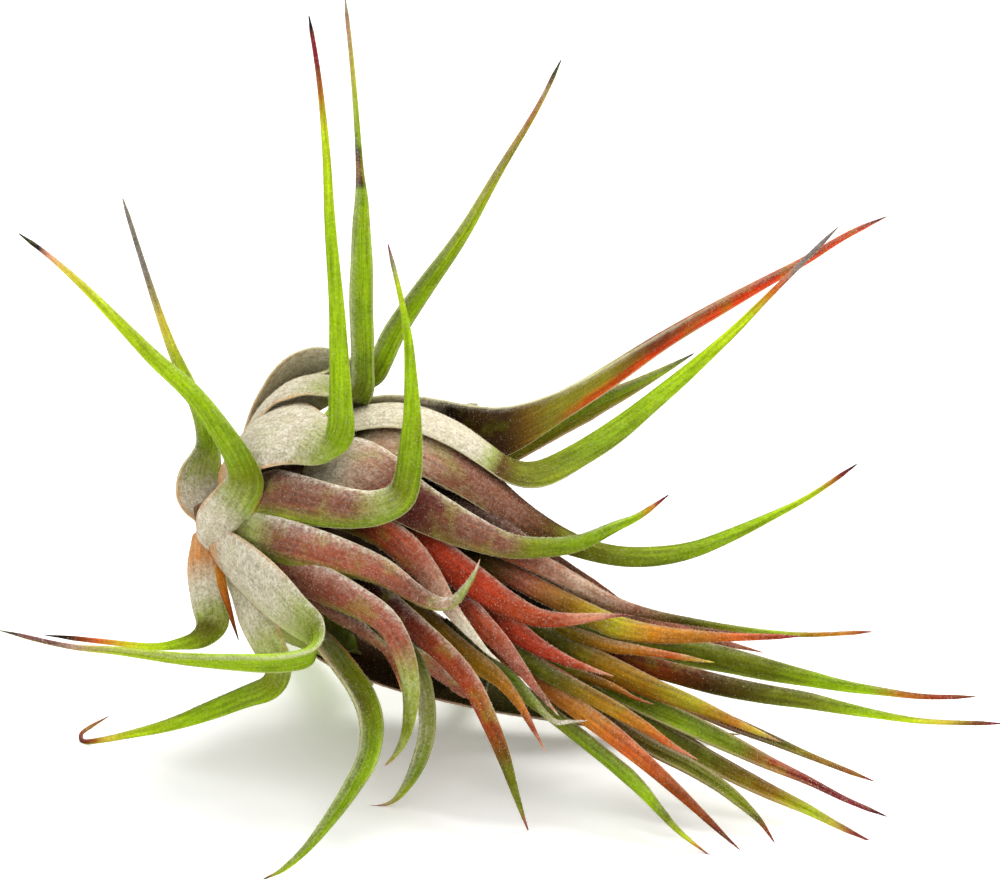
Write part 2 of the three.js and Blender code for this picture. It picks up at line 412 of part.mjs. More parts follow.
function draws(seed) {
  let state = seed >>> 0;
  return () => {
    state = (state + 0x6d2b79f5) >>> 0;
    let t = state;
    t = Math.imul(t ^ (t >>> 15), t | 1);
    t ^= t + Math.imul(t ^ (t >>> 7), t | 61);
    return ((t ^ (t >>> 14)) >>> 0) / 4294967296;
  };
}

const mix = (a, b, t) => a + (b - a) * t;

function smoothStep(low, high, x) {
  const t = Math.min(1, Math.max(0, (x - low) / (high - low)));
  return t * t * (3 - 2 * t);
}

function softened(values, passes) {
  let now = values.slice();
  for (let p = 0; p < passes; p++) {
    const last = now;
    now = last.map((v, i) =>
      i === 0 || i === last.length - 1 ? v : 0.25 * last[i - 1] + 0.5 * v + 0.25 * last[i + 1],
    );
  }
  return now;
}

const STEM_MIDDLE = STEM.map(([a, u, n]) => toPart(a, u, n));

function nearestOnStem(p) {
  let best = null;
  let least = Infinity;
  for (let i = 0; i + 1 < STEM_MIDDLE.length; i++) {
    const line = new THREE.Line3(STEM_MIDDLE[i], STEM_MIDDLE[i + 1]);
    const q = line.closestPointToPoint(p, true, new THREE.Vector3());
    const d = q.distanceTo(p);
    if (d < least) {
      least = d;
      best = q;
    }
  }
  return best;
}

// The smooth line through a route, with the seen width along it.
function smoothRoute(route) {
  const points = route.map(([a, u, n]) => toPart(a, u, n));
  const curve = new THREE.CatmullRomCurve3(points, false, "centripetal");
  let line = [];
  let seen = [];
  const spans = route.length - 1;
  for (let i = 0; i <= ROUTE_STEPS; i++) {
    const t = i / ROUTE_STEPS;
    line.push(curve.getPoint(t));
    const at = Math.min(spans - 1e-9, t * spans);
    const k = Math.floor(at);
    const near = mix(route[k][2], route[k + 1][2], at - k);
    const width = mix(route[k][3], route[k + 1][3], at - k);
    seen.push((width * (EYE_DISTANCE - near)) / EYE_DISTANCE);
  }
  for (const axis of ["x", "y", "z"]) {
    softened(line.map((p) => p[axis]), 4).forEach((v, i) => (line[i][axis] = v));
  }
  return { line, seen: softened(seen, 4) };
}

// Frames along the line that turn no more than the line does. The hollow side faces the stem where
// the leaf is widest.
function frames(line, seen, twist) {
  const n = line.length;
  const along = line.map((p, i) =>
    line[Math.min(n - 1, i + 1)].clone().sub(line[Math.max(0, i - 1)]).normalize(),
  );
  let widest = 0;
  seen.forEach((w, i) => {
    if (w > seen[widest]) widest = i;
  });
  const hollow = new Array(n);
  const towards = nearestOnStem(line[widest]).sub(line[widest]);
  hollow[widest] = towards.addScaledVector(along[widest], -towards.dot(along[widest])).normalize();
  const carry = (from, to) => {
    const turn = new THREE.Quaternion().setFromUnitVectors(along[from], along[to]);
    const v = hollow[from].clone().applyQuaternion(turn);
    hollow[to] = v.addScaledVector(along[to], -v.dot(along[to])).normalize();
  };
  for (let i = widest; i + 1 < n; i++) carry(i, i + 1);
  for (let i = widest; i > 0; i--) carry(i, i - 1);
  const [degrees, start, complete] = twist;
  hollow.forEach((v, i) => {
    const part = smoothStep(start, complete, i / (n - 1));
    v.applyAxisAngle(along[i], THREE.MathUtils.degToRad(degrees * part));
  });
  const side = along.map((t, i) => new THREE.Vector3().crossVectors(t, hollow[i]));
  return { along, hollow, side };
}

// Width of each section, from the seen width and how the section is turned to the eye.
function sectionWidths(line, seen, { along, hollow, side }) {
  const n = line.length;
  let widths = seen.map((w, i) => {
    const flat = smoothStep(BLADE_WIDTH, SHEATH_WIDTH, w);
    const depth = mix(BLADE_DEPTH, SHEATH_DEPTH, flat);
    const sight = line[i].clone().sub(EYE).normalize();
    const across = new THREE.Vector3().crossVectors(sight, along[i]).normalize();
    const share = Math.hypot(side[i].dot(across), depth * hollow[i].dot(across));
    return w * Math.min(WIDEST_TURN, 1 / Math.max(0.2, share));
  });
  widths = softened(widths, 12);
  const curl = line.map((p, i) => {
    const a = Math.max(0, i - 1);
    const b = Math.min(n - 1, i + 1);
    const step = line[b].distanceTo(line[a]);
    const bend = along[b].clone().sub(along[a]).divideScalar(Math.max(step, 1e-6));
    return Math.abs(bend.dot(side[i]));
  });
  widths = widths.map((w, i) => Math.min(w, 1.7 / Math.max(curl[i], 1e-6)));
  return softened(widths, 6).map((w) => Math.max(w, TIP_WIDTH));
}

// One section: four points of the outer face, then four of the hollow face.
function section(p, hollow, side, width, more) {
  const flat = smoothStep(BLADE_WIDTH, SHEATH_WIDTH, width);
  const arc = mix(BLADE_ARC, SHEATH_ARC, flat);
  const middle = Math.min(mix(BLADE_THICKNESS, SHEATH_THICKNESS, flat), 0.34 * width + 0.4);
  const edge = Math.min(MARGIN_THICKNESS, middle);
  const radius = width / 2 / Math.sin(arc);
  const turns = [-1, -0.36, 0.36, 1];
  const points = [];
  const halfDepth = 0.5 * (radius * (1 - Math.cos(arc)) + 0.5 * middle);
  const put = (r, angle) => {
    const out = radius - r * Math.cos(angle) - halfDepth;
    points.push(p.clone().addScaledVector(hollow, out).addScaledVector(side, r * Math.sin(angle)));
  };
  const extra = more / radius;
  for (const t of turns) put(radius + more, t * (arc + extra));
  for (const t of turns.slice().reverse()) {
    const thick = mix(edge, middle, 1 - t * t);
    put(Math.max(radius - thick - more, 0.02), t * (arc + extra));
  }
  return points;
}

function solid(rings, caps) {
  const positions = [];
  for (const ring of rings) for (const p of ring) positions.push(p.x, p.y, p.z);
  const size = rings[0].length;
  const index = [];
  for (let r = 0; r + 1 < rings.length; r++) {
    for (let i = 0; i < size; i++) {
      const a = r * size + i;
      const b = r * size + ((i + 1) % size);
      index.push(a, b, b + size, a, b + size, a + size);
    }
  }
  const last = (rings.length - 1) * size;
  for (const cap of caps) {
    const start = positions.length / 3;
    positions.push(cap.at.x, cap.at.y, cap.at.z);
    for (let i = 0; i < size; i++) {
      const j = (i + 1) % size;
      if (cap.end) index.push(last + i, last + j, start);
      else index.push(j, i, start);
    }
  }
  const geometry = new THREE.BufferGeometry();
  geometry.setAttribute("position", new THREE.Float32BufferAttribute(positions, 3));
  geometry.setIndex(index);
  const merged = mergeVertices(geometry, 1e-4);
  const faces = new Uint32Array(merged.index.array);
  const build = () =>
    new Manifold(
      new Mesh({ numProp: 3, vertProperties: merged.attributes.position.array, triVerts: faces }),
    );
  const made = build();
  if (made.volume() > 0) return made;
  for (let i = 0; i < faces.length; i += 3) {
    const keep = faces[i];
    faces[i] = faces[i + 1];
    faces[i + 1] = keep;
  }
  return build();
}

function mean(points) {
  return points.reduce((s, p) => s.add(p), new THREE.Vector3()).divideScalar(points.length);
}

// A leaf along its route, grown by "more" on every side.
function leaf(route, more, twist) {
  const { line, seen } = smoothRoute(route);
  const turned = frames(line, seen, twist);
  const widths = sectionWidths(line, seen, turned);
  let length = 0;
  const weights = [0];
  for (let i = 1; i < line.length; i++) {
    const step = line[i].distanceTo(line[i - 1]);
    const bend = turned.along[i].distanceTo(turned.along[i - 1]);
    length += step;
    weights.push(weights[i - 1] + step + 7 * bend);
  }
  const count = length > LONG_LEAF ? SECTIONS_LONG : SECTIONS_SHORT;
  const rings = [];
  let at = 0;
  for (let s = 0; s < count; s++) {
    const want = (s / (count - 1)) * weights[weights.length - 1];
    while (at < line.length - 1 && weights[at] < want - 1e-9) at++;
    rings.push(section(line[at], turned.hollow[at], turned.side[at], widths[at], more));
  }
  const end = line.length - 1;
  const tip = mean(rings[rings.length - 1]).addScaledVector(turned.along[end], 0.5 + more);
  const root = mean(rings[0]).addScaledVector(turned.along[0], -0.05 - more);
  return solid(rings, [
    { at: root, end: false },
    { at: tip, end: true },
  ]);
}

function stem(more) {
  const rings = STEM.map(([, , , r], i) => {
    const before = STEM_MIDDLE[Math.max(0, i - 1)];
    const after = STEM_MIDDLE[Math.min(STEM_MIDDLE.length - 1, i + 1)];
    const along = after.clone().sub(before).normalize();
    const side = new THREE.Vector3(0, 1, 0).cross(along).normalize();
    const other = new THREE.Vector3().crossVectors(along, side);
    return Array.from({ length: STEM_SIDES }, (_, k) => {
      const angle = (2 * Math.PI * k) / STEM_SIDES;
      return STEM_MIDDLE[i]
        .clone()
        .addScaledVector(side, (r + more) * Math.cos(angle))
        .addScaledVector(other, (r + more) * Math.sin(angle));
    });
  });
  return solid(rings, [
    { at: mean(rings[0]), end: false },
    { at: mean(rings[rings.length - 1]), end: true },
  ]);
}

// ---- the hidden leaves' routes
function hiddenRoutes() {
  const draw = draws(HIDDEN_SEED);
  const jitter = (size) => size * (2 * draw() - 1);
  const routes = {};
  for (const ring of HIDDEN_RINGS) {
    for (let i = 0; i < ring.count; i++) {
      const angle = THREE.MathUtils.degToRad(ring.first + ring.step * i + jitter(3));
      const up = Math.sin(angle);
      const near = Math.cos(angle);
      const off = ([a, u, n], out) => [a, u + out * up, n + out * near];
      const end = [
        ring.reach[0] + jitter(ring.spread[0]),
        ring.reach[1] + ring.spread[1] * up,
        ring.reach[2] + jitter(ring.spread[2]),
      ];
      const lip = off(ring.shoulder, ring.shoulderOut + 2.5);
      lip[0] += 3;
      const between = (t, lift) => [
        mix(lip[0], end[0], t) + lift,
        mix(lip[1], end[1], t) + 0.4 * lift * up,
        mix(lip[2], end[2], t) + 0.2 * lift,
      ];
      routes[`${ring.name}_${i + 1}`] = [
        [...off(ring.seat, ring.seatOut), 0.62 * ring.sheath],
        [...off(ring.waist, ring.waistOut), ring.sheath],
        [...off(ring.shoulder, ring.shoulderOut), 0.74 * ring.sheath],
        [...lip, 1.25 * ring.blade],
        [...between(0.25, 2.2), ring.blade],
        [...between(0.5, 2.2), 0.78 * ring.blade],
        [...between(0.76, 1.2), 0.48 * ring.blade],
        [...end, 0.6],
      ];
    }
  }
  for (const [name, [front, root, tip, wide, narrow, length]] of Object.entries(HIDDEN_BEHIND)) {
    const route = LEAVES[front];
    const kept = Math.round((route.length - 1) * length);
    routes[name] = route.slice(0, kept + 1).map(([a, u, n, w], k) => {
      const t = k / kept;
      return [a, u, n - mix(root, tip, t), Math.max(0.6, w * mix(wide, narrow, t))];
    });
  }
  Object.assign(routes, HIDDEN_UNDER, HIDDEN_CROWN);
  return routes;
}

const largest = (made) => made.decompose().sort((a, b) => b.volume() - a.volume())[0];

// ---- the solids, each cut clear of the ones outside it
const routes = { ...LEAVES, ...hiddenRoutes() };
const cutters = [stem(GAP)];
const solids = new Map([["stem", stem(0)]]);
for (const [name, route] of Object.entries(routes)) {
  const twist = TWISTS[name] ?? [0, 0, 1];
  const whole = leaf(route, 0, twist).trimByPlane([0, 0, 1], 0);
  const clear = Manifold.difference([whole, ...cutters]);
  solids.set(name, largest(largest(clear).simplify(SMALLEST_DETAIL)));
  cutters.push(leaf(route, GAP, twist));
}

const MATERIALS = {
  stem: new THREE.MeshStandardMaterial({ color: "#8A6A4C", roughness: 0.8 }),
  dry: new THREE.MeshStandardMaterial({ color: "#B9783C", roughness: 0.8 }),
  outer: new THREE.MeshStandardMaterial({ color: "#9DBB5C", roughness: 0.7 }),
  middle: new THREE.MeshStandardMaterial({ color: "#9A8068", roughness: 0.7 }),
  inner: new THREE.MeshStandardMaterial({ color: "#B4603F", roughness: 0.7 }),
  heart: new THREE.MeshStandardMaterial({ color: "#93913A", roughness: 0.7 }),
};

const group = new THREE.Group();
for (const [name, made] of solids) {
  const mesh = made.getMesh();
  const geometry = new THREE.BufferGeometry();
  geometry.setAttribute("position", new THREE.BufferAttribute(mesh.vertProperties, mesh.numProp));
  geometry.setIndex(new THREE.BufferAttribute(mesh.triVerts, 1));
  geometry.computeVertexNormals();
  const key = Object.keys(MATERIALS).find((k) => name.includes(k));
  const part = new THREE.Mesh(geometry, MATERIALS[key]);
  part.name = name;
  group.add(part);
}

export default group;
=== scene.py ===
"""An air plant lying on its side on a pale surface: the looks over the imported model.

Lengths are millimetres in the tables and metres in the meshes.
"""

import math
import random

import bpy
import numpy as np
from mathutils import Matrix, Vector


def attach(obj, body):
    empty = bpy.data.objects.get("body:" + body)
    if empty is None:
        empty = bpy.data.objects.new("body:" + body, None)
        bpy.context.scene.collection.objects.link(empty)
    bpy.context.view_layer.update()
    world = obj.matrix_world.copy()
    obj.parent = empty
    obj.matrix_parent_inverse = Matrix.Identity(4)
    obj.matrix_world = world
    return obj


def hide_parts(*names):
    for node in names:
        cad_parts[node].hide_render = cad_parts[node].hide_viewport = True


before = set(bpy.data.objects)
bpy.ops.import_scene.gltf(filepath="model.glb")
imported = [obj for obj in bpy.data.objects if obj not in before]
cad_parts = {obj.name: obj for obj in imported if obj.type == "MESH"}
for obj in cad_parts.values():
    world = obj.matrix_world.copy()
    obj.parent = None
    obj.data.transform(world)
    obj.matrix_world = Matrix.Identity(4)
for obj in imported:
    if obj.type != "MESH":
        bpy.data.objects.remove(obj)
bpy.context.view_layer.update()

# ---- the frame that the leaf routes are written in
# A route point is [across, up, near, width]. Across and up are read in the plane that faces the eye
# and holds the middle of the plant, near is the distance from that plane towards the eye.
EYE_TILT = math.radians(20.0)
EYE_DISTANCE = 500.0
EYE_UP = 42.3
FLOOR_LIFT = EYE_UP * math.cos(EYE_TILT)
CENTRE_X = 0.465
CENTRE_Y = 1.884
SEEN_ACROSS = 130.0  # width of the picture in the plane of the routes
MM = 0.001

# ---- leaf section
FINE_MARGIN_THICKNESS = 0.28  # the solids' margins are 0.6, the least that a solid's may be
SHEATH_THICKNESS = 1.25
BLADE_THICKNESS = 1.15
TIP_WIDTH = 0.34
TIP_SHARE = 0.6  # of that width, where the last stretch ends in a point
TIP_TAPER = 0.22  # width that a leaf may have for each millimetre left to its tip
THIN_BLADE = (0.34, 0.4)  # thickness for each millimetre of width, and what is added
THIN_TIP = (0.72, 0.16)
WAVE_DEPTH = 0.05  # of the two margins
CURL_ROOM = 1.7  # how wide a leaf may be for its curl, so that its inner margin doesn't fold
SHEATH_WIDTH = 7.0
BLADE_WIDTH = 3.2
SHEATH_ARC = math.radians(32.0)
BLADE_ARC = math.radians(74.0)
SHEATH_DEPTH = 0.32
BLADE_DEPTH = 0.58
WIDEST_TURN = 1.5  # how much wider than it is seen a leaf may be, where it turns from the eye
ROUTE_STEPS = 96
FINE_STEPS = 2  # each step of the route is split in this many
OUTER_POINTS = 15  # points across the outer face of a section
HOLLOW_POINTS = 11

# ---- stem: [across, up, near, radius]
STEM = [
    [-39.2, 30.8, -1.0, 3.4],
    [-37.0, 31.2, -1.0, 4.4],
    [-34.5, 31.8, -1.0, 5.6],
    [-31.0, 32.6, -0.5, 8.4],
    [-26.0, 33.0, 0.0, 11.0],
    [-20.0, 33.0, 0.0, 12.0],
    [-14.0, 31.8, 0.5, 11.2],
    [-8.0, 29.5, 1.0, 9.0],
    [-3.0, 26.8, 2.0, 6.6],
    [2.0, 23.2, 3.0, 4.0],
    [6.5, 19.8, 4.0, 1.2],
]

# ---- leaves that can be seen, from the outermost to the innermost
LEAVES = {
    "outer_leaf_1": [
        [-37.0, 28.2, 4.0, 5.6], [-36.4, 31.4, 9.4, 7.0], [-34.4, 34.2, 12.8, 6.2],
        [-33.2, 36.8, 14.6, 4.9], [-33.9, 39.2, 15.8, 4.0], [-35.8, 42.5, 16.5, 3.3],
        [-40.0, 48.2, 16.0, 2.6], [-45.0, 52.8, 15.0, 2.2], [-50.0, 58.0, 13.5, 1.6],
        [-55.0, 63.0, 12.0, 1.0], [-59.0, 66.5, 10.5, 0.7], [-62.4, 69.0, 9.0, 0.6],
    ],
    "outer_leaf_6": [
        [-37.0, 28.5, 5.0, 4.6], [-34.0, 26.0, 11.0, 6.0], [-30.0, 22.5, 16.0, 6.5],
        [-26.4, 19.3, 19.5, 5.4], [-23.9, 17.0, 22.0, 4.0], [-24.3, 14.5, 24.0, 3.4],
        [-28.0, 13.4, 25.5, 3.0], [-35.0, 13.4, 26.0, 2.4], [-42.0, 13.8, 26.0, 1.8],
        [-50.0, 14.8, 25.5, 1.2], [-56.0, 15.3, 25.0, 0.8], [-65.0, 17.4, 24.0, 0.6],
    ],
    "middle_leaf_1": [
        [-33.0, 34.0, 8.0, 5.4], [-30.0, 35.3, 13.5, 6.4], [-26.0, 34.5, 17.0, 6.6],
        [-20.0, 33.4, 19.0, 5.4], [-16.0, 33.5, 20.0, 4.6], [-13.0, 35.0, 21.0, 4.2],
        [-12.1, 38.0, 21.8, 3.9], [-11.7, 42.0, 22.0, 3.1], [-11.5, 45.0, 22.0, 2.5],
        [-11.6, 50.0, 21.5, 1.9], [-11.9, 55.0, 21.0, 1.3], [-12.7, 60.0, 20.0, 0.8],
        [-14.5, 67.6, 18.5, 0.6],
    ],
    "middle_leaf_2": [
        [-34.5, 30.6, 8.5, 5.2], [-31.0, 29.8, 13.5, 6.0], [-27.0, 28.5, 17.0, 6.2],
        [-21.0, 27.0, 19.5, 7.0], [-15.0, 24.8, 21.0, 6.4], [-11.0, 22.2, 21.8, 5.0],
        [-8.0, 20.9, 22.3, 3.4], [-6.0, 21.3, 22.7, 2.3], [-4.5, 23.0, 22.9, 1.6],
        [-3.3, 25.0, 22.9, 1.0], [-2.7, 26.5, 22.8, 0.6],
    ],
    "outer_leaf_3": [
        [-35.5, 38.5, 4.0, 5.0], [-32.4, 42.4, 8.5, 8.0], [-28.4, 43.2, 12.5, 9.8],
        [-24.9, 42.4, 15.2, 7.6], [-22.0, 41.3, 17.2, 5.0], [-20.9, 43.6, 18.3, 3.8],
        [-20.9, 47.0, 18.0, 3.2], [-20.9, 50.0, 17.5, 2.9], [-21.1, 55.0, 16.5, 2.6],
        [-21.3, 60.0, 15.5, 2.1], [-22.1, 70.0, 13.5, 1.6], [-22.6, 80.0, 11.0, 1.1],
        [-23.6, 90.0, 8.5, 0.7], [-24.8, 97.3, 6.5, 0.6],
    ],
    "middle_leaf_3": [
        [-33.0, 28.0, 8.0, 4.8], [-29.0, 26.3, 13.5, 5.2], [-24.0, 23.7, 17.5, 5.2],
        [-19.0, 21.2, 20.0, 4.4], [-15.0, 18.6, 21.5, 3.9], [-12.9, 15.0, 22.5, 3.2],
        [-11.8, 11.0, 22.5, 2.5], [-11.7, 7.0, 21.5, 2.3], [-12.4, 3.5, 19.5, 1.7],
        [-13.7, 1.2, 17.6, 1.0], [-14.8, 0.0, 16.0, 0.6],
    ],
    "outer_leaf_7": [
        [-38.2, 30.0, 1.5, 4.0], [-38.6, 25.8, 4.5, 4.6], [-38.0, 21.4, 6.5, 4.7],
        [-37.5, 18.4, 8.5, 4.4], [-39.2, 16.4, 10.5, 2.9], [-42.0, 15.6, 11.8, 1.5],
        [-45.0, 15.3, 12.5, 1.0], [-52.0, 16.0, 13.0, 0.8], [-59.0, 16.8, 13.0, 0.6],
    ],
    "outer_leaf_2": [
        [-37.4, 32.6, -0.5, 4.6], [-38.7, 35.2, 1.2, 7.2], [-38.9, 38.0, 3.0, 6.2],
        [-38.1, 41.4, 4.2, 3.0], [-38.8, 45.2, 4.5, 2.3], [-40.6, 49.6, 4.6, 2.0],
        [-42.5, 53.8, 4.1, 1.5], [-44.4, 59.0, 3.5, 1.1], [-46.6, 65.8, 2.5, 0.8],
        [-49.0, 73.5, 1.0, 0.6],
    ],
    "dry_leaf": [
        [-37.6, 28.6, 1.0, 3.0], [-36.8, 25.4, 4.6, 3.4], [-35.8, 22.1, 6.6, 3.4],
        [-34.8, 19.0, 7.8, 2.8], [-34.0, 16.4, 8.4, 1.8],
    ],
    "outer_leaf_8": [
        [-35.4, 27.2, 1.0, 4.4], [-33.6, 24.0, 7.0, 5.2], [-32.0, 19.8, 10.2, 5.4],
        [-30.4, 15.8, 11.6, 4.8], [-28.9, 12.6, 12.0, 4.0], [-29.9, 10.3, 11.5, 3.4],
        [-33.0, 9.0, 9.5, 3.0], [-38.0, 7.0, 6.0, 2.6], [-43.0, 5.2, 2.4, 1.7],
        [-48.0, 4.0, -1.6, 1.1], [-52.0, 3.2, -4.9, 0.8], [-54.3, 3.1, -6.6, 0.7],
        [-54.4, 4.0, -7.0, 0.6], [-53.2, 4.9, -7.0, 0.6], [-51.0, 6.2, -7.0, 0.6],
    ],
    "outer_leaf_4": [
        [-34.2, 38.4, -0.5, 5.0], [-31.2, 44.4, 1.5, 6.8], [-27.2, 48.9, 3.5, 7.4],
        [-23.0, 49.4, 6.3, 6.4], [-19.6, 47.6, 9.0, 4.2], [-18.1, 49.2, 10.0, 3.1],
        [-18.0, 52.0, 9.8, 3.0], [-18.0, 55.0, 9.3, 3.3], [-18.2, 60.0, 8.3, 3.4],
        [-18.1, 65.0, 7.3, 3.1], [-18.1, 70.0, 6.2, 2.5], [-18.0, 73.5, 5.4, 2.0],
        [-18.2, 77.0, 4.6, 1.0], [-18.5, 82.0, 3.8, 0.9], [-19.1, 90.0, 2.3, 0.7],
        [-20.1, 99.5, 0.5, 0.6],
    ],
    "outer_leaf_5": [
        [-33.0, 38.8, -5.0, 4.6], [-30.2, 46.2, -6.0, 5.8], [-26.6, 50.8, -5.4, 6.2],
        [-22.6, 52.2, -4.0, 5.4], [-18.9, 51.0, -2.4, 4.2], [-16.8, 50.8, -1.4, 3.4],
        [-15.5, 52.8, -1.2, 3.1], [-14.0, 56.0, -2.0, 3.2], [-10.0, 61.9, -3.5, 2.7],
        [-5.0, 68.8, -5.0, 1.9], [0.0, 77.4, -7.0, 1.2], [5.0, 85.6, -9.0, 0.7],
        [7.9, 91.5, -10.5, 0.6],
    ],
    "outer_leaf_9": [
        [-27.0, 21.0, 8.0, 3.6], [-24.0, 17.2, 12.5, 3.8], [-20.8, 13.2, 16.0, 3.8],
        [-18.2, 9.4, 19.0, 3.8], [-16.9, 5.5, 22.0, 3.4], [-17.3, 1.0, 25.0, 3.0],
        [-19.4, -3.0, 27.5, 2.5], [-22.1, -7.0, 29.3, 1.9], [-25.3, -11.0, 30.6, 1.2],
        [-28.5, -13.8, 31.2, 0.8], [-30.6, -14.8, 31.2, 0.6],
    ],
    "middle_leaf_4": [
        [-32.0, 27.3, 5.5, 4.6], [-28.5, 25.4, 9.0, 5.4], [-25.0, 22.9, 12.5, 5.8],
        [-21.4, 19.8, 15.0, 5.6], [-18.0, 17.7, 16.8, 5.0], [-15.1, 15.2, 17.9, 3.8],
        [-13.5, 12.4, 18.4, 2.2], [-12.8, 9.8, 18.5, 0.8],
    ],
    "middle_leaf_10": [
        [-23.0, 33.4, 11.5, 4.4], [-18.5, 32.0, 15.5, 4.5], [-14.0, 29.4, 17.5, 4.2],
        [-9.6, 25.0, 18.6, 4.2], [-6.2, 20.0, 19.4, 4.4], [-3.5, 16.8, 20.0, 3.1],
        [-1.5, 14.6, 20.4, 1.6], [-0.1, 13.5, 20.5, 0.7],
    ],
    "middle_leaf_9": [
        [-25.0, 38.0, 10.0, 6.0], [-20.5, 39.2, 14.0, 7.8], [-16.6, 37.9, 15.9, 7.6],
        [-12.0, 34.5, 16.8, 6.5], [-7.0, 31.8, 16.6, 5.5], [-3.0, 30.0, 16.2, 4.5],
        [1.0, 28.6, 15.9, 3.4], [5.0, 28.3, 15.7, 2.8], [10.0, 28.8, 15.5, 2.4],
        [15.0, 31.0, 15.4, 1.5], [18.0, 32.3, 15.3, 1.0], [21.8, 35.0, 15.2, 0.6],
    ],
    "middle_leaf_7": [
        [-24.0, 43.2, 5.5, 5.6], [-18.0, 45.4, 9.0, 5.2], [-12.0, 45.6, 10.0, 5.2],
        [-6.0, 43.3, 10.0, 4.9], [-1.8, 40.5, 9.8, 4.5], [1.6, 38.3, 9.3, 4.5],
        [5.0, 38.0, 8.6, 4.4], [10.0, 40.4, 7.2, 4.0], [15.0, 43.6, 5.6, 3.4],
        [20.0, 47.5, 4.0, 2.7], [25.0, 51.6, 2.5, 2.0], [30.0, 56.0, 1.0, 1.4],
        [35.0, 61.0, -1.0, 0.9], [43.9, 69.8, -4.5, 0.6],
    ],
    "middle_leaf_6": [
        [-21.0, 44.4, 1.0, 5.0], [-15.5, 45.4, 3.2, 6.6], [-9.5, 44.4, 3.8, 7.4],
        [-4.2, 43.4, 3.2, 7.6], [-0.4, 43.3, 2.4, 7.0], [2.6, 44.2, 1.3, 5.8],
        [5.4, 45.5, 0.2, 4.8], [8.3, 47.1, -1.2, 4.1], [12.0, 49.3, -2.9, 3.6],
        [15.6, 51.6, -4.2, 3.2], [20.0, 54.5, -6.0, 2.7], [25.0, 57.5, -8.0, 2.3],
        [30.0, 60.3, -10.0, 2.0], [35.0, 63.0, -12.0, 1.6], [40.0, 65.7, -14.0, 1.2],
        [45.0, 68.8, -16.0, 0.9], [50.2, 71.2, -18.0, 0.6],
    ],
    "middle_leaf_8": [
        [-20.0, 41.5, 8.5, 5.2], [-16.0, 42.8, 11.0, 6.0], [-12.0, 41.8, 12.4, 6.2],
        [-8.0, 39.8, 12.9, 6.0], [-3.0, 36.9, 12.6, 5.5], [2.0, 33.1, 11.6, 4.5],
        [6.0, 30.5, 10.8, 3.8], [10.0, 28.6, 10.4, 3.0], [15.0, 27.3, 10.0, 2.8],
        [20.0, 27.2, 9.7, 2.8], [25.0, 28.0, 9.4, 2.4], [30.0, 29.9, 9.0, 1.9],
        [35.0, 32.2, 8.5, 1.2], [40.0, 34.7, 8.0, 0.8], [46.3, 39.0, 7.0, 0.6],
    ],
    "middle_leaf_11": [
        [-19.0, 24.5, 10.0, 3.5], [-14.5, 20.6, 13.6, 3.6], [-10.0, 16.8, 16.4, 3.5],
        [-6.2, 13.2, 18.2, 3.1], [-3.6, 10.0, 19.6, 2.9], [-1.6, 6.0, 20.6, 2.5],
        [0.5, 1.0, 20.9, 2.0], [2.0, -3.5, 20.2, 1.5], [3.0, -6.5, 19.2, 1.0],
        [3.7, -8.5, 18.1, 0.7],
    ],
    "middle_leaf_5": [
        [-20.0, 20.0, 4.0, 3.0], [-15.5, 17.4, 8.5, 3.0], [-12.2, 14.6, 12.5, 2.8],
        [-10.4, 11.5, 15.0, 2.6], [-9.6, 8.0, 16.2, 2.4], [-9.6, 4.0, 16.4, 2.4],
        [-10.6, 0.3, 15.4, 2.2], [-12.3, -3.0, 13.7, 1.4], [-14.2, -5.0, 12.3, 0.8],
        [-16.7, -5.5, 11.4, 0.6],
    ],
    "inner_leaf_4": [
        [-15.0, 31.0, 10.5, 4.0], [-10.8, 29.2, 13.6, 4.5], [-7.0, 26.4, 15.4, 4.5],
        [-3.0, 23.4, 16.0, 4.4], [1.0, 20.8, 16.2, 3.5], [5.0, 19.1, 16.4, 2.5],
        [9.0, 18.9, 16.6, 1.8], [13.0, 19.3, 16.8, 1.0], [16.6, 19.5, 16.9, 0.6],
    ],
    "inner_leaf_6": [
        [-10.0, 25.0, 10.0, 3.2], [-6.4, 22.0, 13.8, 3.4], [-3.0, 18.6, 16.2, 3.7],
        [0.0, 15.8, 17.8, 3.9], [2.5, 12.8, 18.8, 3.6], [4.8, 9.8, 19.4, 2.4],
        [6.5, 7.8, 19.8, 1.3], [7.5, 6.6, 20.0, 0.7],
    ],
    "inner_leaf_1": [
        [-12.0, 36.0, 9.0, 2.6], [-5.0, 33.9, 12.9, 2.3], [0.0, 31.3, 13.2, 2.1],
        [3.0, 29.3, 12.8, 1.7], [7.0, 26.9, 10.9, 1.3], [11.0, 24.4, 9.2, 1.0],
        [15.0, 22.0, 8.0, 0.7],
    ],
    "inner_leaf_2": [
        [-9.0, 31.5, 9.5, 2.8], [-3.0, 29.4, 12.0, 2.7], [2.0, 27.4, 13.0, 2.6],
        [6.0, 25.7, 13.2, 2.8], [10.0, 23.5, 13.0, 2.5], [15.0, 21.0, 12.6, 1.8],
        [20.0, 19.5, 12.2, 1.4], [25.0, 18.6, 11.9, 1.1], [30.0, 17.8, 11.7, 0.9],
        [35.0, 17.2, 11.6, 0.8], [40.0, 16.9, 11.5, 0.7], [48.1, 17.3, 11.4, 0.6],
    ],
    "inner_leaf_3": [
        [-8.0, 29.0, 7.5, 2.8],
        [-4.5, 27.5, 9.0, 2.8], [-0.5, 25.8, 11.4, 3.0], [2.8, 24.0, 12.8, 3.0],
        [6.4, 22.1, 13.8, 3.0], [10.4, 20.2, 14.2, 2.7], [15.0, 18.0, 14.4, 3.3],
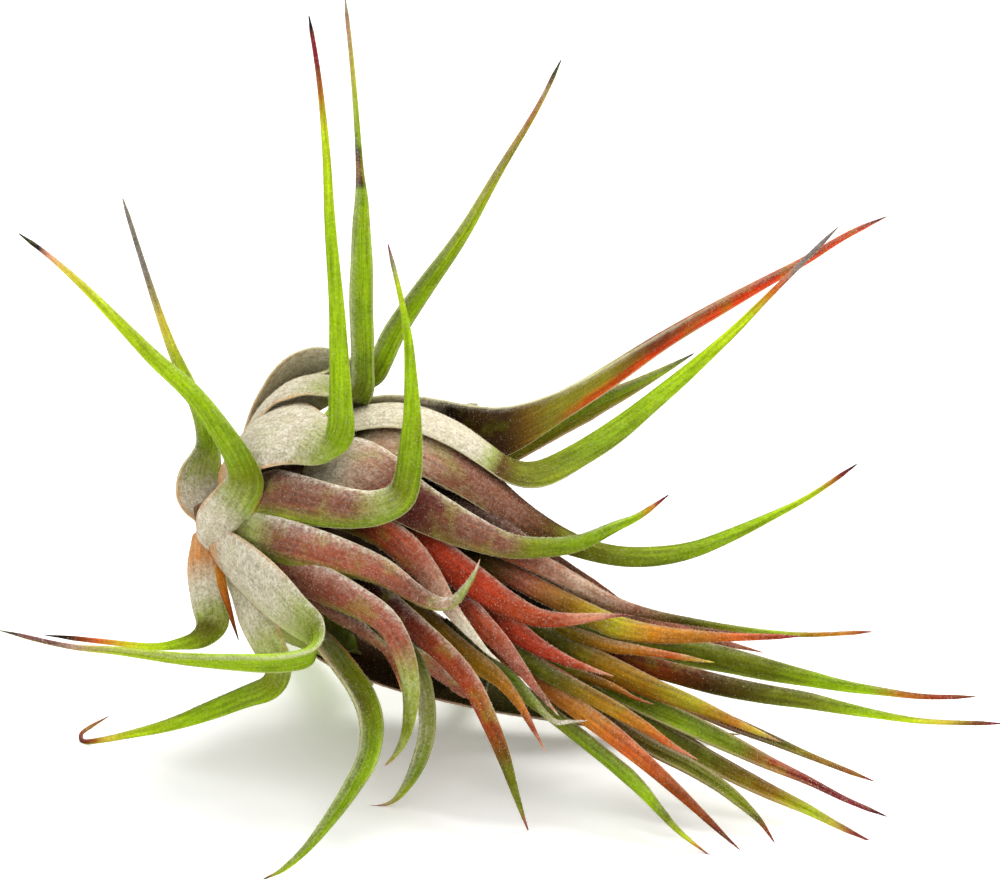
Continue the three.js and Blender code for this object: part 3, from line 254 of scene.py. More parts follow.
        [20.0, 17.0, 14.5, 2.6], [25.0, 16.7, 14.5, 1.8], [30.0, 16.6, 14.5, 1.2],
        [38.7, 16.7, 14.5, 0.6],
    ],
    "inner_leaf_5": [
        [-10.5, 26.0, 7.0, 2.6],
        [-7.0, 23.0, 9.0, 2.6], [-3.0, 20.4, 12.0, 2.8], [1.0, 17.9, 14.2, 2.9],
        [5.0, 15.3, 16.0, 3.1], [9.0, 13.4, 17.2, 2.0], [12.0, 12.4, 17.9, 1.1],
        [14.6, 11.6, 18.3, 0.6],
    ],
    "inner_leaf_7": [
        [-13.0, 23.0, 6.5, 2.4],
        [-10.0, 19.5, 8.5, 2.4], [-6.4, 16.2, 12.0, 2.5], [-3.0, 13.2, 14.6, 2.6],
        [0.0, 11.0, 16.2, 2.8], [2.5, 8.0, 17.2, 2.4], [4.2, 5.0, 17.8, 1.5],
        [5.9, 1.9, 18.2, 0.6],
    ],
    "heart_leaf_11": [
        [-6.5, 21.6, 5.5, 2.2],
        [-2.0, 18.0, 8.0, 2.2], [2.0, 14.6, 12.5, 2.3], [6.0, 11.9, 16.0, 2.3],
        [11.0, 9.3, 18.5, 2.3], [15.0, 7.1, 20.0, 2.2], [19.0, 4.8, 21.0, 1.6],
        [22.0, 2.8, 21.6, 1.0], [25.6, 0.8, 22.0, 0.6],
    ],
    "heart_leaf_12": [
        [-2.0, 18.8, 5.5, 1.6],
        [4.0, 14.8, 9.0, 1.5], [8.0, 12.7, 13.2, 1.6], [12.0, 11.2, 15.6, 1.4],
        [15.0, 10.1, 16.9, 1.3], [17.5, 8.8, 17.6, 0.9], [19.8, 8.0, 18.0, 0.6],
    ],
    "inner_leaf_9": [
        [-4.5, 19.6, 6.5, 1.6],
        [0.0, 16.0, 9.5, 1.5], [4.6, 13.6, 13.4, 1.5], [8.0, 12.0, 15.6, 1.3],
        [10.0, 11.0, 16.6, 1.0], [12.0, 10.0, 17.3, 0.6],
    ],
    "inner_leaf_8": [
        [-7.0, 18.4, 7.5, 1.6],
        [-2.0, 14.0, 11.0, 1.5], [2.0, 11.2, 14.6, 1.5], [4.5, 8.4, 16.6, 1.2],
        [6.2, 6.4, 17.6, 0.9], [7.5, 5.6, 18.1, 0.8], [9.0, 5.7, 18.5, 0.7],
        [11.2, 5.8, 18.9, 0.6],
    ],
    "heart_leaf_9": [
        [-5.0, 18.4, 5.5, 2.6],
        [1.0, 14.0, 9.5, 2.5], [6.0, 10.2, 14.0, 2.8], [10.0, 7.2, 17.0, 2.9],
        [15.0, 3.5, 19.8, 2.8], [20.0, -0.6, 22.0, 2.2], [24.0, -4.2, 23.4, 1.5],
        [28.0, -8.0, 24.2, 0.9], [31.1, -10.9, 24.0, 0.6],
    ],
    "heart_leaf_3": [
        [-4.0, 22.0, 4.5, 2.8],
        [2.0, 18.4, 7.5, 2.8], [6.0, 16.2, 10.4, 3.3], [10.0, 14.4, 12.6, 3.4],
        [15.0, 12.0, 14.6, 3.5], [20.0, 9.8, 16.0, 2.8], [25.0, 7.9, 17.1, 2.2],
        [30.0, 5.8, 18.0, 1.3], [33.0, 4.5, 18.5, 0.9], [36.3, 3.1, 19.0, 0.6],
    ],
    "inner_leaf_10": [
        [-1.0, 21.4, 5.5, 2.2],
        [5.0, 18.6, 8.5, 2.1], [10.0, 16.8, 12.6, 2.2], [14.0, 15.5, 14.0, 2.0],
        [18.0, 14.9, 14.8, 1.5], [22.0, 14.3, 15.3, 1.0], [27.6, 13.4, 15.8, 0.6],
    ],
    "heart_leaf_2": [
        [-4.0, 22.4, 2.0, 3.0],
        [3.0, 18.6, 5.0, 2.6], [10.0, 15.6, 8.8, 2.8], [16.0, 13.6, 11.0, 2.8],
        [22.0, 12.0, 12.4, 2.8], [28.0, 10.4, 13.5, 3.0], [34.0, 9.2, 14.3, 2.7],
        [40.0, 8.3, 15.0, 2.4], [45.0, 7.3, 15.5, 1.7], [50.0, 6.4, 16.0, 1.1],
        [55.0, 5.7, 16.4, 0.8], [65.0, 5.4, 17.0, 0.6],
    ],
    "heart_leaf_1": [
        [-4.0, 23.6, -3.0, 3.4],
        [3.0, 20.0, 1.5, 2.8], [10.0, 17.2, 4.5, 3.4], [20.0, 15.2, 7.4, 3.6],
        [28.0, 13.8, 9.2, 3.7], [35.0, 12.2, 10.4, 3.0], [40.0, 11.2, 11.0, 2.3],
        [45.0, 10.2, 11.6, 1.6], [50.0, 9.5, 12.0, 1.1], [55.0, 8.9, 12.3, 0.8],
        [61.6, 8.9, 12.6, 0.6],
    ],
    "heart_leaf_8": [
        [-4.5, 18.2, 2.5, 2.4],
        [3.0, 13.0, 6.5, 2.2], [9.0, 9.2, 11.5, 2.3], [14.0, 5.5, 15.2, 2.3],
        [20.0, 2.0, 18.4, 2.2], [25.0, -0.5, 20.5, 2.2], [29.0, -3.0, 21.8, 1.9],
        [32.0, -5.5, 22.5, 1.5], [34.0, -7.5, 22.7, 1.0], [35.6, -9.9, 22.4, 0.6],
    ],
    "heart_leaf_10": [
        [-6.5, 17.4, 2.0, 2.2],
        [0.0, 11.5, 6.0, 2.0], [5.0, 7.9, 10.5, 2.2], [10.0, 4.0, 14.4, 2.3],
        [14.0, 0.8, 17.3, 2.3], [18.0, -2.7, 19.9, 2.4], [21.0, -6.0, 22.0, 1.8],
        [23.5, -8.7, 23.7, 1.1], [27.4, -11.8, 24.6, 0.6],
    ],
    "heart_leaf_6": [
        [-4.0, 18.8, 0.5, 2.6],
        [5.0, 12.6, 4.5, 2.5], [11.0, 9.6, 9.0, 2.8], [17.0, 6.1, 12.8, 2.8],
        [24.0, 2.3, 16.4, 2.8], [30.0, -1.0, 18.6, 2.6], [35.0, -3.5, 19.8, 2.2],
        [40.0, -5.8, 20.5, 1.5], [44.0, -7.9, 20.9, 0.9], [48.0, -9.8, 20.9, 0.7],
    ],
    "heart_leaf_5": [
        [-3.0, 19.6, -1.5, 2.6],
        [5.0, 14.6, 2.5, 2.4], [11.0, 11.5, 7.5, 2.8], [17.0, 8.6, 11.4, 3.0],
        [24.0, 5.4, 15.2, 3.0], [30.0, 2.6, 17.6, 2.6], [35.0, 0.2, 19.2, 1.9],
        [40.0, -2.0, 20.2, 1.2], [45.0, -4.5, 21.0, 0.8], [50.1, -6.6, 21.5, 0.6],
    ],
    "heart_leaf_7": [
        [-1.5, 19.2, -3.0, 2.4],
        [6.0, 13.0, 1.0, 2.0], [12.0, 9.9, 5.2, 2.2], [17.0, 7.0, 8.6, 2.2],
        [22.0, 4.3, 11.4, 2.0], [28.0, 1.0, 14.0, 1.4], [32.0, -1.2, 15.4, 0.7],
    ],
    "heart_leaf_4": [
        [0.0, 20.4, -2.5, 2.4],
        [7.0, 16.2, 1.0, 2.2], [13.0, 13.2, 5.2, 2.4], [20.0, 9.8, 9.4, 2.4],
        [30.0, 5.4, 14.0, 2.0], [35.0, 3.4, 15.8, 1.5], [40.0, 1.3, 17.2, 1.0],
        [48.4, -2.0, 19.0, 0.6],
    ],
    "inner_leaf_11": [
        [-8.0, 35.5, -5.0, 3.0], [-1.0, 39.6, -7.0, 3.4], [6.0, 43.6, -8.0, 3.4],
        [12.0, 46.8, -9.0, 3.4], [16.5, 48.8, -9.8, 3.5], [20.6, 50.9, -10.5, 3.0],
        [23.2, 52.3, -11.0, 1.9], [25.1, 53.4, -11.4, 1.1],
    ],
}

# ---- leaves on the far side: rings of a rule with seeded draws
HIDDEN_SEED = 4124
HIDDEN_RINGS = [
    # where the sheath lies: [across, up, near] of the stem's middle, and how far out from it
    {
        "name": "back_outer_leaf", "count": 5, "first": 112, "step": 41,
        "seat": [-35.0, 31.8, -1.0], "seat_out": 5.5, "waist": [-29.0, 32.6, 0.0], "waist_out": 14.5,
        "shoulder": [-22.0, 32.8, 0.0], "shoulder_out": 18.0, "sheath": 10.0, "blade": 3.4,
        "reach": [-27.0, 31.0, -51.0], "spread": [9.0, 10.4, 6.0],
    },
    {
        "name": "back_middle_leaf", "count": 4, "first": 130, "step": 50,
        "seat": [-23.0, 33.0, 0.0], "seat_out": 12.4, "waist": [-15.0, 32.2, 1.0], "waist_out": 16.2,
        "shoulder": [-8.0, 29.8, 1.0], "shoulder_out": 17.6, "sheath": 10.5, "blade": 3.2,
        "reach": [-8.0, 27.0, -46.0], "spread": [6.0, 7.0, 6.0],
    },
    {
        "name": "back_inner_leaf", "count": 1, "first": 168, "step": 58,
        "seat": [-9.0, 30.0, 1.0], "seat_out": 9.4, "waist": [-2.0, 26.0, 1.0], "waist_out": 11.0,
        "shoulder": [3.0, 22.5, 1.0], "shoulder_out": 12.0, "sheath": 7.4, "blade": 2.8,
        "reach": [5.0, 21.0, -36.0], "spread": [1.5, 4.0, 4.0],
    },
]
# [leaf in front, how much farther away its root and its tip are, shares of its width there, share of
# its length]
HIDDEN_BEHIND = {"back_heart_leaf_1": ["heart_leaf_1", 8.0, 20.0, 1.5, 0.6, 0.7]}
HIDDEN_UNDER = {
    "back_inner_leaf_2": [
        [-33.0, 26.0, -4.0, 5.0], [-28.0, 20.5, -8.0, 7.0], [-22.0, 16.0, -10.0, 8.0],
        [-15.0, 12.8, -10.0, 8.0], [-7.0, 10.2, -9.0, 7.0], [1.0, 8.2, -8.0, 5.4],
        [9.0, 6.6, -7.0, 4.0], [17.0, 5.4, -6.6, 2.8], [24.0, 4.6, -6.4, 1.8], [31.0, 4.0, -6.2, 0.7],
    ],
    "back_inner_leaf_3": [
        [-24.0, 24.0, -6.0, 6.0], [-18.0, 20.8, -6.6, 8.6], [-11.0, 17.8, -6.4, 9.4],
        [-4.0, 15.2, -6.0, 8.6], [3.0, 12.8, -5.8, 6.8], [9.0, 10.8, -6.0, 5.0], [15.0, 9.2, -6.6, 3.4],
        [20.0, 8.2, -7.2, 2.2], [25.0, 7.6, -8.0, 0.8],
    ],
}
HIDDEN_CROWN = {
    "back_heart_leaf_2": [
        [-18.0, 41.0, -1.0, 5.0], [-12.5, 40.6, 1.5, 7.0], [-7.0, 38.4, 3.2, 7.8],
        [-2.0, 34.6, 3.6, 6.8], [2.6, 30.0, 2.6, 5.2], [6.6, 26.0, 1.0, 3.8], [11.0, 22.6, -1.0, 2.9],
        [18.0, 19.4, -4.0, 2.2], [26.0, 16.6, -8.0, 1.5], [34.0, 14.6, -12.0, 0.7],
    ],
    "back_heart_leaf_3": [
        [-16.0, 40.0, -8.0, 5.0], [-10.0, 38.6, -7.5, 7.0], [-5.0, 35.8, -7.0, 7.4],
        [0.0, 31.6, -6.5, 6.4], [4.5, 27.4, -6.8, 4.8], [9.0, 23.8, -8.0, 3.5],
        [15.0, 20.6, -11.0, 2.6], [22.0, 18.4, -15.0, 2.0], [30.0, 17.4, -20.0, 1.4],
        [36.0, 17.2, -24.0, 0.7],
    ],
}

# Leaves that are twisted: degrees about their length, and where along the route the twist starts and
# is complete.
TWISTS = {
    "outer_leaf_3": [60.0, 0.2, 0.42],
    "outer_leaf_4": [-45.0, 0.15, 0.35],
    "outer_leaf_5": [-30.0, 0.1, 0.3],
    "outer_leaf_9": [45.0, -0.2, 0.25],
    "middle_leaf_5": [30.0, -0.2, 0.1],
    "middle_leaf_6": [-65.0, -0.1, 0.14],
    "inner_leaf_11": [-30.0, -0.2, 0.1],
    "heart_leaf_1": [-45.0, -0.1, 0.1],
    "heart_leaf_2": [-60.0, -0.1, 0.1],
    "heart_leaf_5": [60.0, -0.1, 0.1],
    "heart_leaf_6": [60.0, -0.1, 0.1],
    "heart_leaf_8": [60.0, -0.1, 0.1],
}

# ---- colours. A pigment is the leaf's own colour (sRGB) and how much of it the silver scales hide.
PIGMENTS = {
    "felt": ("#ACA182", 0.71),
    "bone": ("#BEB293", 0.7),
    "tan": ("#CC8A44", 0.2),
    "sage": ("#8E9A34", 0.22),
    "moss": ("#727C02", 0.04),
    "green": ("#7C9602", 0.04),
    "leaf": ("#98B804", 0.03),
    "lime": ("#B4C80C", 0.03),
    "straw": ("#CCB83C", 0.04),
    "ochre": ("#967006", 0.03),
    "amber": ("#B87812", 0.05),
    "orange": ("#C25A12", 0.05),
    "rust": ("#8E4206", 0.03),
    "olive": ("#5E5C06", 0.03),
    "bronze": ("#543606", 0.03),
    "umber": ("#220E04", 0.01),
    "mauve": ("#784228", 0.13),
    "rose": ("#984A30", 0.12),
    "plum": ("#4C261C", 0.12),
    "maroon": ("#581406", 0.05),
    "brick": ("#9A3A08", 0.07),
    "red": ("#AA3408", 0.06),
    "dusk": ("#A87C5E", 0.36),
    "khaki": ("#A69C1C", 0.04),
    "scarlet": ("#EE4A0E", 0.0),
    "blush": ("#CC8868", 0.15),
    "crimson": ("#801C2A", 0.02),
    "ash": ("#7A6E6A", 0.1),
    "ink": ("#1E1014", 0.0),
}
# The course of pigments along each leaf, from 0 at its root to 1 at its tip.
# The umber at the roots of middle, inner and heart leaves is painted shade, where their neighbours
# close over them.
TINTS = {
    "outer_leaf_1": [(0.0, "felt"), (0.12, "felt"), (0.2, "sage"), (0.3, "moss"), (0.4, "green"),
                     (0.58, "leaf"), (0.76, "lime"), (0.85, "straw"), (0.9, "blush"), (0.93, "ink"),
                     (1.0, "ink")],
    "outer_leaf_2": [(0.0, "bone"), (0.14, "bone"), (0.24, "sage"), (0.34, "green"), (0.5, "leaf"),
                     (0.62, "lime"), (0.76, "straw"), (0.86, "ash"), (1.0, "ash")],
    "outer_leaf_3": [(0.0, "tan"), (0.06, "felt"), (0.2, "felt"), (0.28, "sage"), (0.35, "green"),
                     (0.55, "leaf"), (0.76, "leaf"), (0.86, "lime"), (0.9, "amber"), (0.93, "crimson"),
                     (0.965, "crimson"), (0.985, "ink"), (1.0, "ink")],
    "outer_leaf_4": [(0.0, "tan"), (0.05, "felt"), (0.16, "felt"), (0.24, "sage"), (0.31, "moss"),
                     (0.42, "green"), (0.6, "leaf"), (0.755, "leaf"), (0.768, "umber"), (0.805, "rust"),
                     (0.84, "umber"), (0.852, "leaf"), (0.9, "lime"), (0.94, "straw"), (0.97, "blush"),
                     (1.0, "ash")],
    "outer_leaf_5": [(0.0, "tan"), (0.05, "bone"), (0.28, "bone"), (0.4, "moss"), (0.52, "leaf"),
                     (0.66, "leaf"), (0.77, "lime"), (0.85, "straw"), (0.91, "orange"),
                     (0.945, "blush"), (0.96, "crimson"), (0.98, "ink"), (1.0, "ink")],
    "outer_leaf_6": [(0.0, "tan"), (0.05, "felt"), (0.2, "felt"), (0.3, "sage"), (0.37, "moss"),
                     (0.46, "leaf"), (0.66, "leaf"), (0.82, "lime"), (0.87, "straw"), (0.9, "blush"),
                     (0.93, "crimson"), (0.965, "crimson"), (0.985, "ink"), (1.0, "ink")],
    "outer_leaf_7": [(0.0, "tan"), (0.1, "tan"), (0.2, "felt"), (0.32, "sage"), (0.42, "olive"),
                     (0.52, "moss"), (0.66, "leaf"), (0.78, "lime"), (0.88, "orange"), (0.95, "umber"),
                     (1.0, "ink")],
    "outer_leaf_8": [(0.0, "sage"), (0.14, "felt"), (0.22, "sage"), (0.34, "moss"), (0.42, "green"),
                     (0.54, "leaf"), (0.64, "lime"), (0.69, "straw"), (0.73, "rust"), (0.78, "maroon"),
                     (0.9, "rose"), (1.0, "crimson")],
    "outer_leaf_9": [(0.0, "felt"), (0.14, "sage"), (0.24, "moss"), (0.36, "moss"), (0.5, "green"),
                     (0.82, "leaf"), (0.93, "lime"), (0.96, "amber"), (0.98, "crimson"), (1.0, "ink")],
    "dry_leaf": [(0.0, "tan"), (0.3, "amber"), (0.7, "rust"), (1.0, "umber")],
    "middle_leaf_1": [(0.0, "umber"), (0.05, "mauve"), (0.26, "mauve"), (0.36, "sage"), (0.44, "moss"),
                      (0.54, "green"), (0.7, "leaf"), (0.88, "leaf"), (0.94, "lime"), (0.975, "ash"),
                      (1.0, "crimson")],
    "middle_leaf_2": [(0.0, "bronze"), (0.08, "sage"), (0.16, "mauve"), (0.26, "rose"), (0.38, "rose"),
                      (0.54, "mauve"), (0.66, "dusk"), (0.76, "sage"), (0.88, "sage"), (0.95, "bone"),
                      (1.0, "blush")],
    "middle_leaf_3": [(0.0, "bronze"), (0.1, "mauve"), (0.24, "rose"), (0.36, "rose"), (0.48, "rose"),
                      (0.6, "sage"), (0.76, "moss"), (0.86, "sage"), (0.94, "straw"), (1.0, "blush")],
    "middle_leaf_4": [(0.0, "umber"), (0.15, "bronze"), (0.35, "mauve"), (0.6, "mauve"), (0.85, "rust"),
                      (1.0, "tan")],
    "middle_leaf_5": [(0.0, "olive"), (0.2, "moss"), (0.36, "sage"), (0.55, "sage"), (0.7, "green"),
                      (0.82, "lime"), (0.9, "straw"), (0.95, "blush"), (1.0, "crimson")],
    "middle_leaf_6": [(0.0, "felt"), (0.1, "bone"), (0.15, "umber"), (0.2, "bronze"), (0.27, "bronze"),
                      (0.33, "ochre"), (0.4, "khaki"), (0.54, "khaki"), (0.62, "rust"), (0.7, "orange"),
                      (0.78, "scarlet"), (0.95, "scarlet"), (0.985, "crimson"), (1.0, "ink")],
    "middle_leaf_7": [(0.0, "felt"), (0.1, "bone"), (0.28, "bone"), (0.32, "sage"), (0.35, "bronze"),
                      (0.4, "olive"), (0.48, "moss"), (0.58, "green"), (0.76, "leaf"), (0.88, "lime"),
                      (0.93, "orange"), (0.955, "ash"), (1.0, "ash")],
    "middle_leaf_8": [(0.0, "felt"), (0.09, "dusk"), (0.16, "dusk"), (0.25, "mauve"), (0.36, "mauve"),
                      (0.43, "bronze"), (0.48, "olive"), (0.56, "moss"), (0.72, "green"),
                      (0.88, "leaf"),
                      (0.94, "lime"), (0.965, "amber"), (0.98, "crimson"), (1.0, "ink")],
    "middle_leaf_9": [(0.0, "felt"), (0.07, "felt"), (0.14, "dusk"), (0.22, "mauve"), (0.3, "maroon"),
                      (0.42, "mauve"), (0.54, "mauve"), (0.62, "moss"), (0.74, "green"), (0.9, "leaf"),
                      (0.95, "amber"), (0.975, "crimson"), (1.0, "ink")],
    "middle_leaf_10": [(0.0, "maroon"), (0.25, "brick"), (0.4, "rose"), (0.54, "dusk"), (0.7, "bone"),
                       (0.92, "bone"), (1.0, "bone")],
    "middle_leaf_11": [(0.0, "umber"), (0.14, "maroon"), (0.3, "brick"), (0.5, "brick"),
                       (0.6, "rust"), (0.7, "olive"), (0.85, "moss"), (0.93, "rose"), (1.0, "crimson")],
    "inner_leaf_1": [(0.0, "umber"), (0.3, "plum"), (0.7, "mauve"), (1.0, "rose")],
    "inner_leaf_2": [(0.0, "plum"), (0.2, "rose"), (0.38, "dusk"), (0.5, "mauve"), (0.62, "olive"),
                     (0.74, "moss"), (0.84, "leaf"), (0.91, "ochre"), (0.96, "amber"),
                     (1.0, "crimson")],
    "inner_leaf_3": [(0.0, "moss"), (0.15, "olive"), (0.3, "rose"), (0.48, "ochre"), (0.6, "khaki"),
                     (0.7, "amber"), (0.82, "amber"), (0.92, "orange"), (1.0, "crimson")],
    "inner_leaf_4": [(0.0, "maroon"), (0.14, "red"), (0.4, "red"), (0.54, "brick"), (0.7, "brick"),
                     (0.86, "blush"), (1.0, "crimson")],
    "inner_leaf_5": [(0.0, "maroon"), (0.14, "maroon"), (0.3, "brick"), (0.45, "red"), (0.62, "red"),
                     (0.8, "brick"), (0.92, "blush"), (1.0, "blush")],
    "inner_leaf_6": [(0.0, "umber"), (0.16, "maroon"), (0.34, "brick"), (0.5, "rose"), (0.64, "rose"),
                     (0.8, "mauve"), (0.92, "blush"), (1.0, "bone")],
    "inner_leaf_7": [(0.0, "olive"), (0.25, "ochre"), (0.5, "ochre"), (0.7, "amber"), (0.86, "brick"),
                     (1.0, "blush")],
    "inner_leaf_8": [(0.0, "moss"), (0.3, "green"), (0.55, "sage"), (0.8, "felt"), (1.0, "bone")],
    "inner_leaf_9": [(0.0, "ochre"), (0.3, "amber"), (0.6, "orange"), (0.85, "brick"), (1.0, "blush")],
    "inner_leaf_10": [(0.0, "ochre"), (0.2, "khaki"), (0.4, "ochre"), (0.65, "amber"),
                      (0.85, "orange"), (1.0, "straw")],
    "inner_leaf_11": [(0.0, "moss"), (0.4, "green"), (0.7, "leaf"), (0.9, "green"), (0.97, "umber"),
                      (1.0, "umber")],
    "heart_leaf_1": [(0.0, "moss"), (0.2, "moss"), (0.35, "moss"), (0.5, "moss"), (0.62, "leaf"),
                     (0.76, "leaf"), (0.84, "amber"), (0.92, "brick"), (1.0, "crimson")],
    "heart_leaf_2": [(0.0, "umber"), (0.12, "umber"), (0.22, "maroon"), (0.34, "rust"),
                     (0.44, "bronze"),
                     (0.54, "olive"), (0.66, "moss"), (0.78, "leaf"), (0.88, "lime"), (0.94, "straw"),
                     (0.97, "crimson"), (1.0, "crimson")],
    "heart_leaf_3": [(0.0, "moss"), (0.16, "olive"), (0.3, "olive"), (0.42, "ochre"), (0.54, "ochre"),
                     (0.66, "khaki"), (0.8, "amber"), (0.92, "straw"), (1.0, "blush")],
    "heart_leaf_4": [(0.0, "umber"), (0.2, "rust"), (0.45, "rust"), (0.6, "bronze"), (0.78, "olive"),
                     (0.9, "ochre"), (0.96, "rust"), (1.0, "crimson")],
    "heart_leaf_5": [(0.0, "olive"), (0.25, "moss"), (0.45, "green"), (0.58, "moss"), (0.68, "brick"),
                     (0.82, "crimson"), (0.94, "crimson"), (1.0, "ink")],
    "heart_leaf_6": [(0.0, "olive"), (0.3, "moss"), (0.5, "olive"), (0.68, "ochre"), (0.8, "lime"),
                     (0.88, "straw"), (0.93, "brick"), (1.0, "crimson")],
    "heart_leaf_7": [(0.0, "umber"), (0.3, "bronze"), (0.6, "olive"), (1.0, "ochre")],
    "heart_leaf_8": [(0.0, "umber"), (0.3, "bronze"), (0.5, "olive"), (0.7, "moss"), (0.86, "olive"),
                     (0.93, "rust"), (1.0, "crimson")],
    "heart_leaf_9": [(0.0, "umber"), (0.2, "rust"), (0.4, "amber"), (0.55, "orange"), (0.7, "rust"),
                     (0.8, "rust"), (0.93, "maroon"), (1.0, "crimson")],
    "heart_leaf_10": [(0.0, "moss"), (0.3, "moss"), (0.5, "green"), (0.7, "leaf"), (0.8, "moss"),
                      (0.9, "lime"), (0.95, "amber"), (1.0, "crimson")],
    "heart_leaf_11": [(0.0, "moss"), (0.2, "moss"), (0.4, "olive"), (0.56, "ochre"), (0.72, "amber"),
                      (0.86, "orange"), (1.0, "blush")],
    "heart_leaf_12": [(0.0, "moss"), (0.3, "green"), (0.5, "ochre"), (0.72, "amber"), (0.88, "orange"),
                      (1.0, "blush")],
}
# The far leaves take the course of a near one, and those that lie under the others take a dark one:
# painted shade, where they lie in the plant's shadow.
HIDDEN_TINTS = {
    "back_outer_leaf": ["outer_leaf_3", "outer_leaf_6", "outer_leaf_5", "outer_leaf_1", "outer_leaf_9"],
    "back_middle_leaf": ["middle_leaf_9", "middle_leaf_1", "middle_leaf_8", "middle_leaf_3"],
    "back_inner_leaf": ["inner_leaf_4", "heart_leaf_7", "heart_leaf_7"],
    "back_heart_leaf": ["heart_leaf_1", "inner_leaf_1", "inner_leaf_1"],
}
# Across a leaf, colour is painted by how its sides face the light: its upper side is frosted and, on a
# blade, painted darker as shade, and greener or paler pigment shows along its lower side, partly its
# own and partly painted light shining through.
SHADED = (-0.5, 0.1, 0.86)  # the direction that a leaf's frosted side faces, the side that gets painted shade on blades
# for each kind, or a leaf that differs: more scales on the frosted side, partly painted light on the
# felt, how dark that side is on a blade (painted shade), pigment of the lower side, partly its own and
# partly painted light shining through, its strength, and the places where it starts and has faded
ACROSS = {
    "outer_leaf": (0.2, 0.6, "leaf", 0.45, 0.2, 1.2),
    "middle_leaf": (0.34, 0.55, "sage", 0.8, 0.05, 0.7),
    "inner_leaf": (0.2, 0.75, "ochre", 0.4, 0.0, 0.8),
    "heart_leaf": (0.12, 0.66, "leaf", 0.35, 0.0, 0.9),
    "dry_leaf": (0.1, 0.8, "umber", 0.5, 0.0, 1.2),
    "middle_leaf_6": (0.04, 0.5, "scarlet", 0.8, 0.5, 1.3),
    "middle_leaf_8": (0.34, 0.5, "moss", 0.7, 0.05, 0.7),
    "middle_leaf_1": (0.42, 0.5, "green", 0.85, 0.0, 0.7),
    "middle_leaf_2": (0.42, 0.5, "sage", 0.9, 0.0, 1.0),
    "middle_leaf_3": (0.42, 0.5, "sage", 0.9, 0.3, 1.1),
    "middle_leaf_9": (0.6, 0.5, "sage", 0.6, 0.4, 0.75),
    "middle_leaf_11": (0.12, 0.7, "maroon", 0.5, 0.0, 0.6),
    "inner_leaf_4": (0.24, 0.9, "brick", 0.4, 0.0, 1.2),
    "inner_leaf_5": (0.24, 0.9, "brick", 0.4, 0.0, 1.2),
    "heart_leaf_3": (0.12, 0.7, "orange", 0.7, 0.2, 1.2),
    "heart_leaf_9": (0.3, 0.8, "brick", 0.6, 0.0, 1.2),
}
# more scales on a fringe along the margin of the frosted side, partly painted light on the felt
FRINGE = {
    "outer_leaf": 0.3, "middle_leaf": 0.4, "inner_leaf": 0.32, "heart_leaf": 0.15, "dry_leaf": 0.0,
}
# how dark a leaf is at its root, where it is in its neighbours' shade
ROOT_SHADE = {
    "outer_leaf": 1.0, "middle_leaf": 0.75, "inner_leaf": 0.5, "heart_leaf": 0.4, "dry_leaf": 1.0,
}
SILVER = "#DFD9CB"  # the scales that cover the leaves
CREAM = "#E0DDB4"  # the thin margin of an outer leaf
PINK = "#EBC9B4"  # and of a red one


def linear(text):
    """sRGB hex to linear red, green and blue."""
    out = []
    for i in (1, 3, 5):
        c = int(text[i : i + 2], 16) / 255.0
        out.append(c / 12.92 if c <= 0.04045 else ((c + 0.055) / 1.055) ** 2.4)
    return out


def to_part(across, up, near):
    closer = (EYE_DISTANCE - near) / EYE_DISTANCE
    c = (up - EYE_UP) * closer
    return np.array(
        [
            across * closer - CENTRE_X,
            c * math.sin(EYE_TILT) - near * math.cos(EYE_TILT) - CENTRE_Y,
            c * math.cos(EYE_TILT) + near * math.sin(EYE_TILT) + FLOOR_LIFT,
        ]
    )


EYE = np.array(
    [
        -CENTRE_X,
        -EYE_DISTANCE * math.cos(EYE_TILT) - CENTRE_Y,
        EYE_DISTANCE * math.sin(EYE_TILT) + FLOOR_LIFT,
    ]
)

# ---- camera, where the eye is
camera_data = bpy.data.cameras.new("eye")
camera_data.sensor_width = 36.0
camera_data.lens = 36.0 * EYE_DISTANCE / SEEN_ACROSS
camera_data.clip_start = 0.01
camera = bpy.data.objects.new("eye", camera_data)
camera.location = Vector(EYE * MM)
camera.rotation_euler = (math.radians(90.0) - EYE_TILT, 0.0, 0.0)
bpy.context.scene.collection.objects.link(camera)
bpy.context.scene.camera = camera


# ---- leaf shape
def mix(a, b, t):
    return a + (b - a) * t


def smooth_step(low, high, x):
    t = np.clip((x - low) / (high - low), 0.0, 1.0)
    return t * t * (3.0 - 2.0 * t)


def softened(values, passes):
    now = np.array(values, float)
    for _ in range(passes):
        last = now.copy()
        now[1:-1] = 0.25 * last[:-2] + 0.5 * last[1:-1] + 0.25 * last[2:]
    return now


def unit(v):
    return v / np.maximum(np.linalg.norm(v, axis=-1, keepdims=True), 1e-12)


STEM_MIDDLE = [to_part(*row[:3]) for row in STEM]


def nearest_on_stem(p):
    best = None
    least = 1e9
    for a, b in zip(STEM_MIDDLE, STEM_MIDDLE[1:]):
        t = float(np.clip(np.dot(p - a, b - a) / np.dot(b - a, b - a), 0.0, 1.0))
        q = a + (b - a) * t
        d = float(np.linalg.norm(q - p))
        if d < least:
            least, best = d, q
    return best


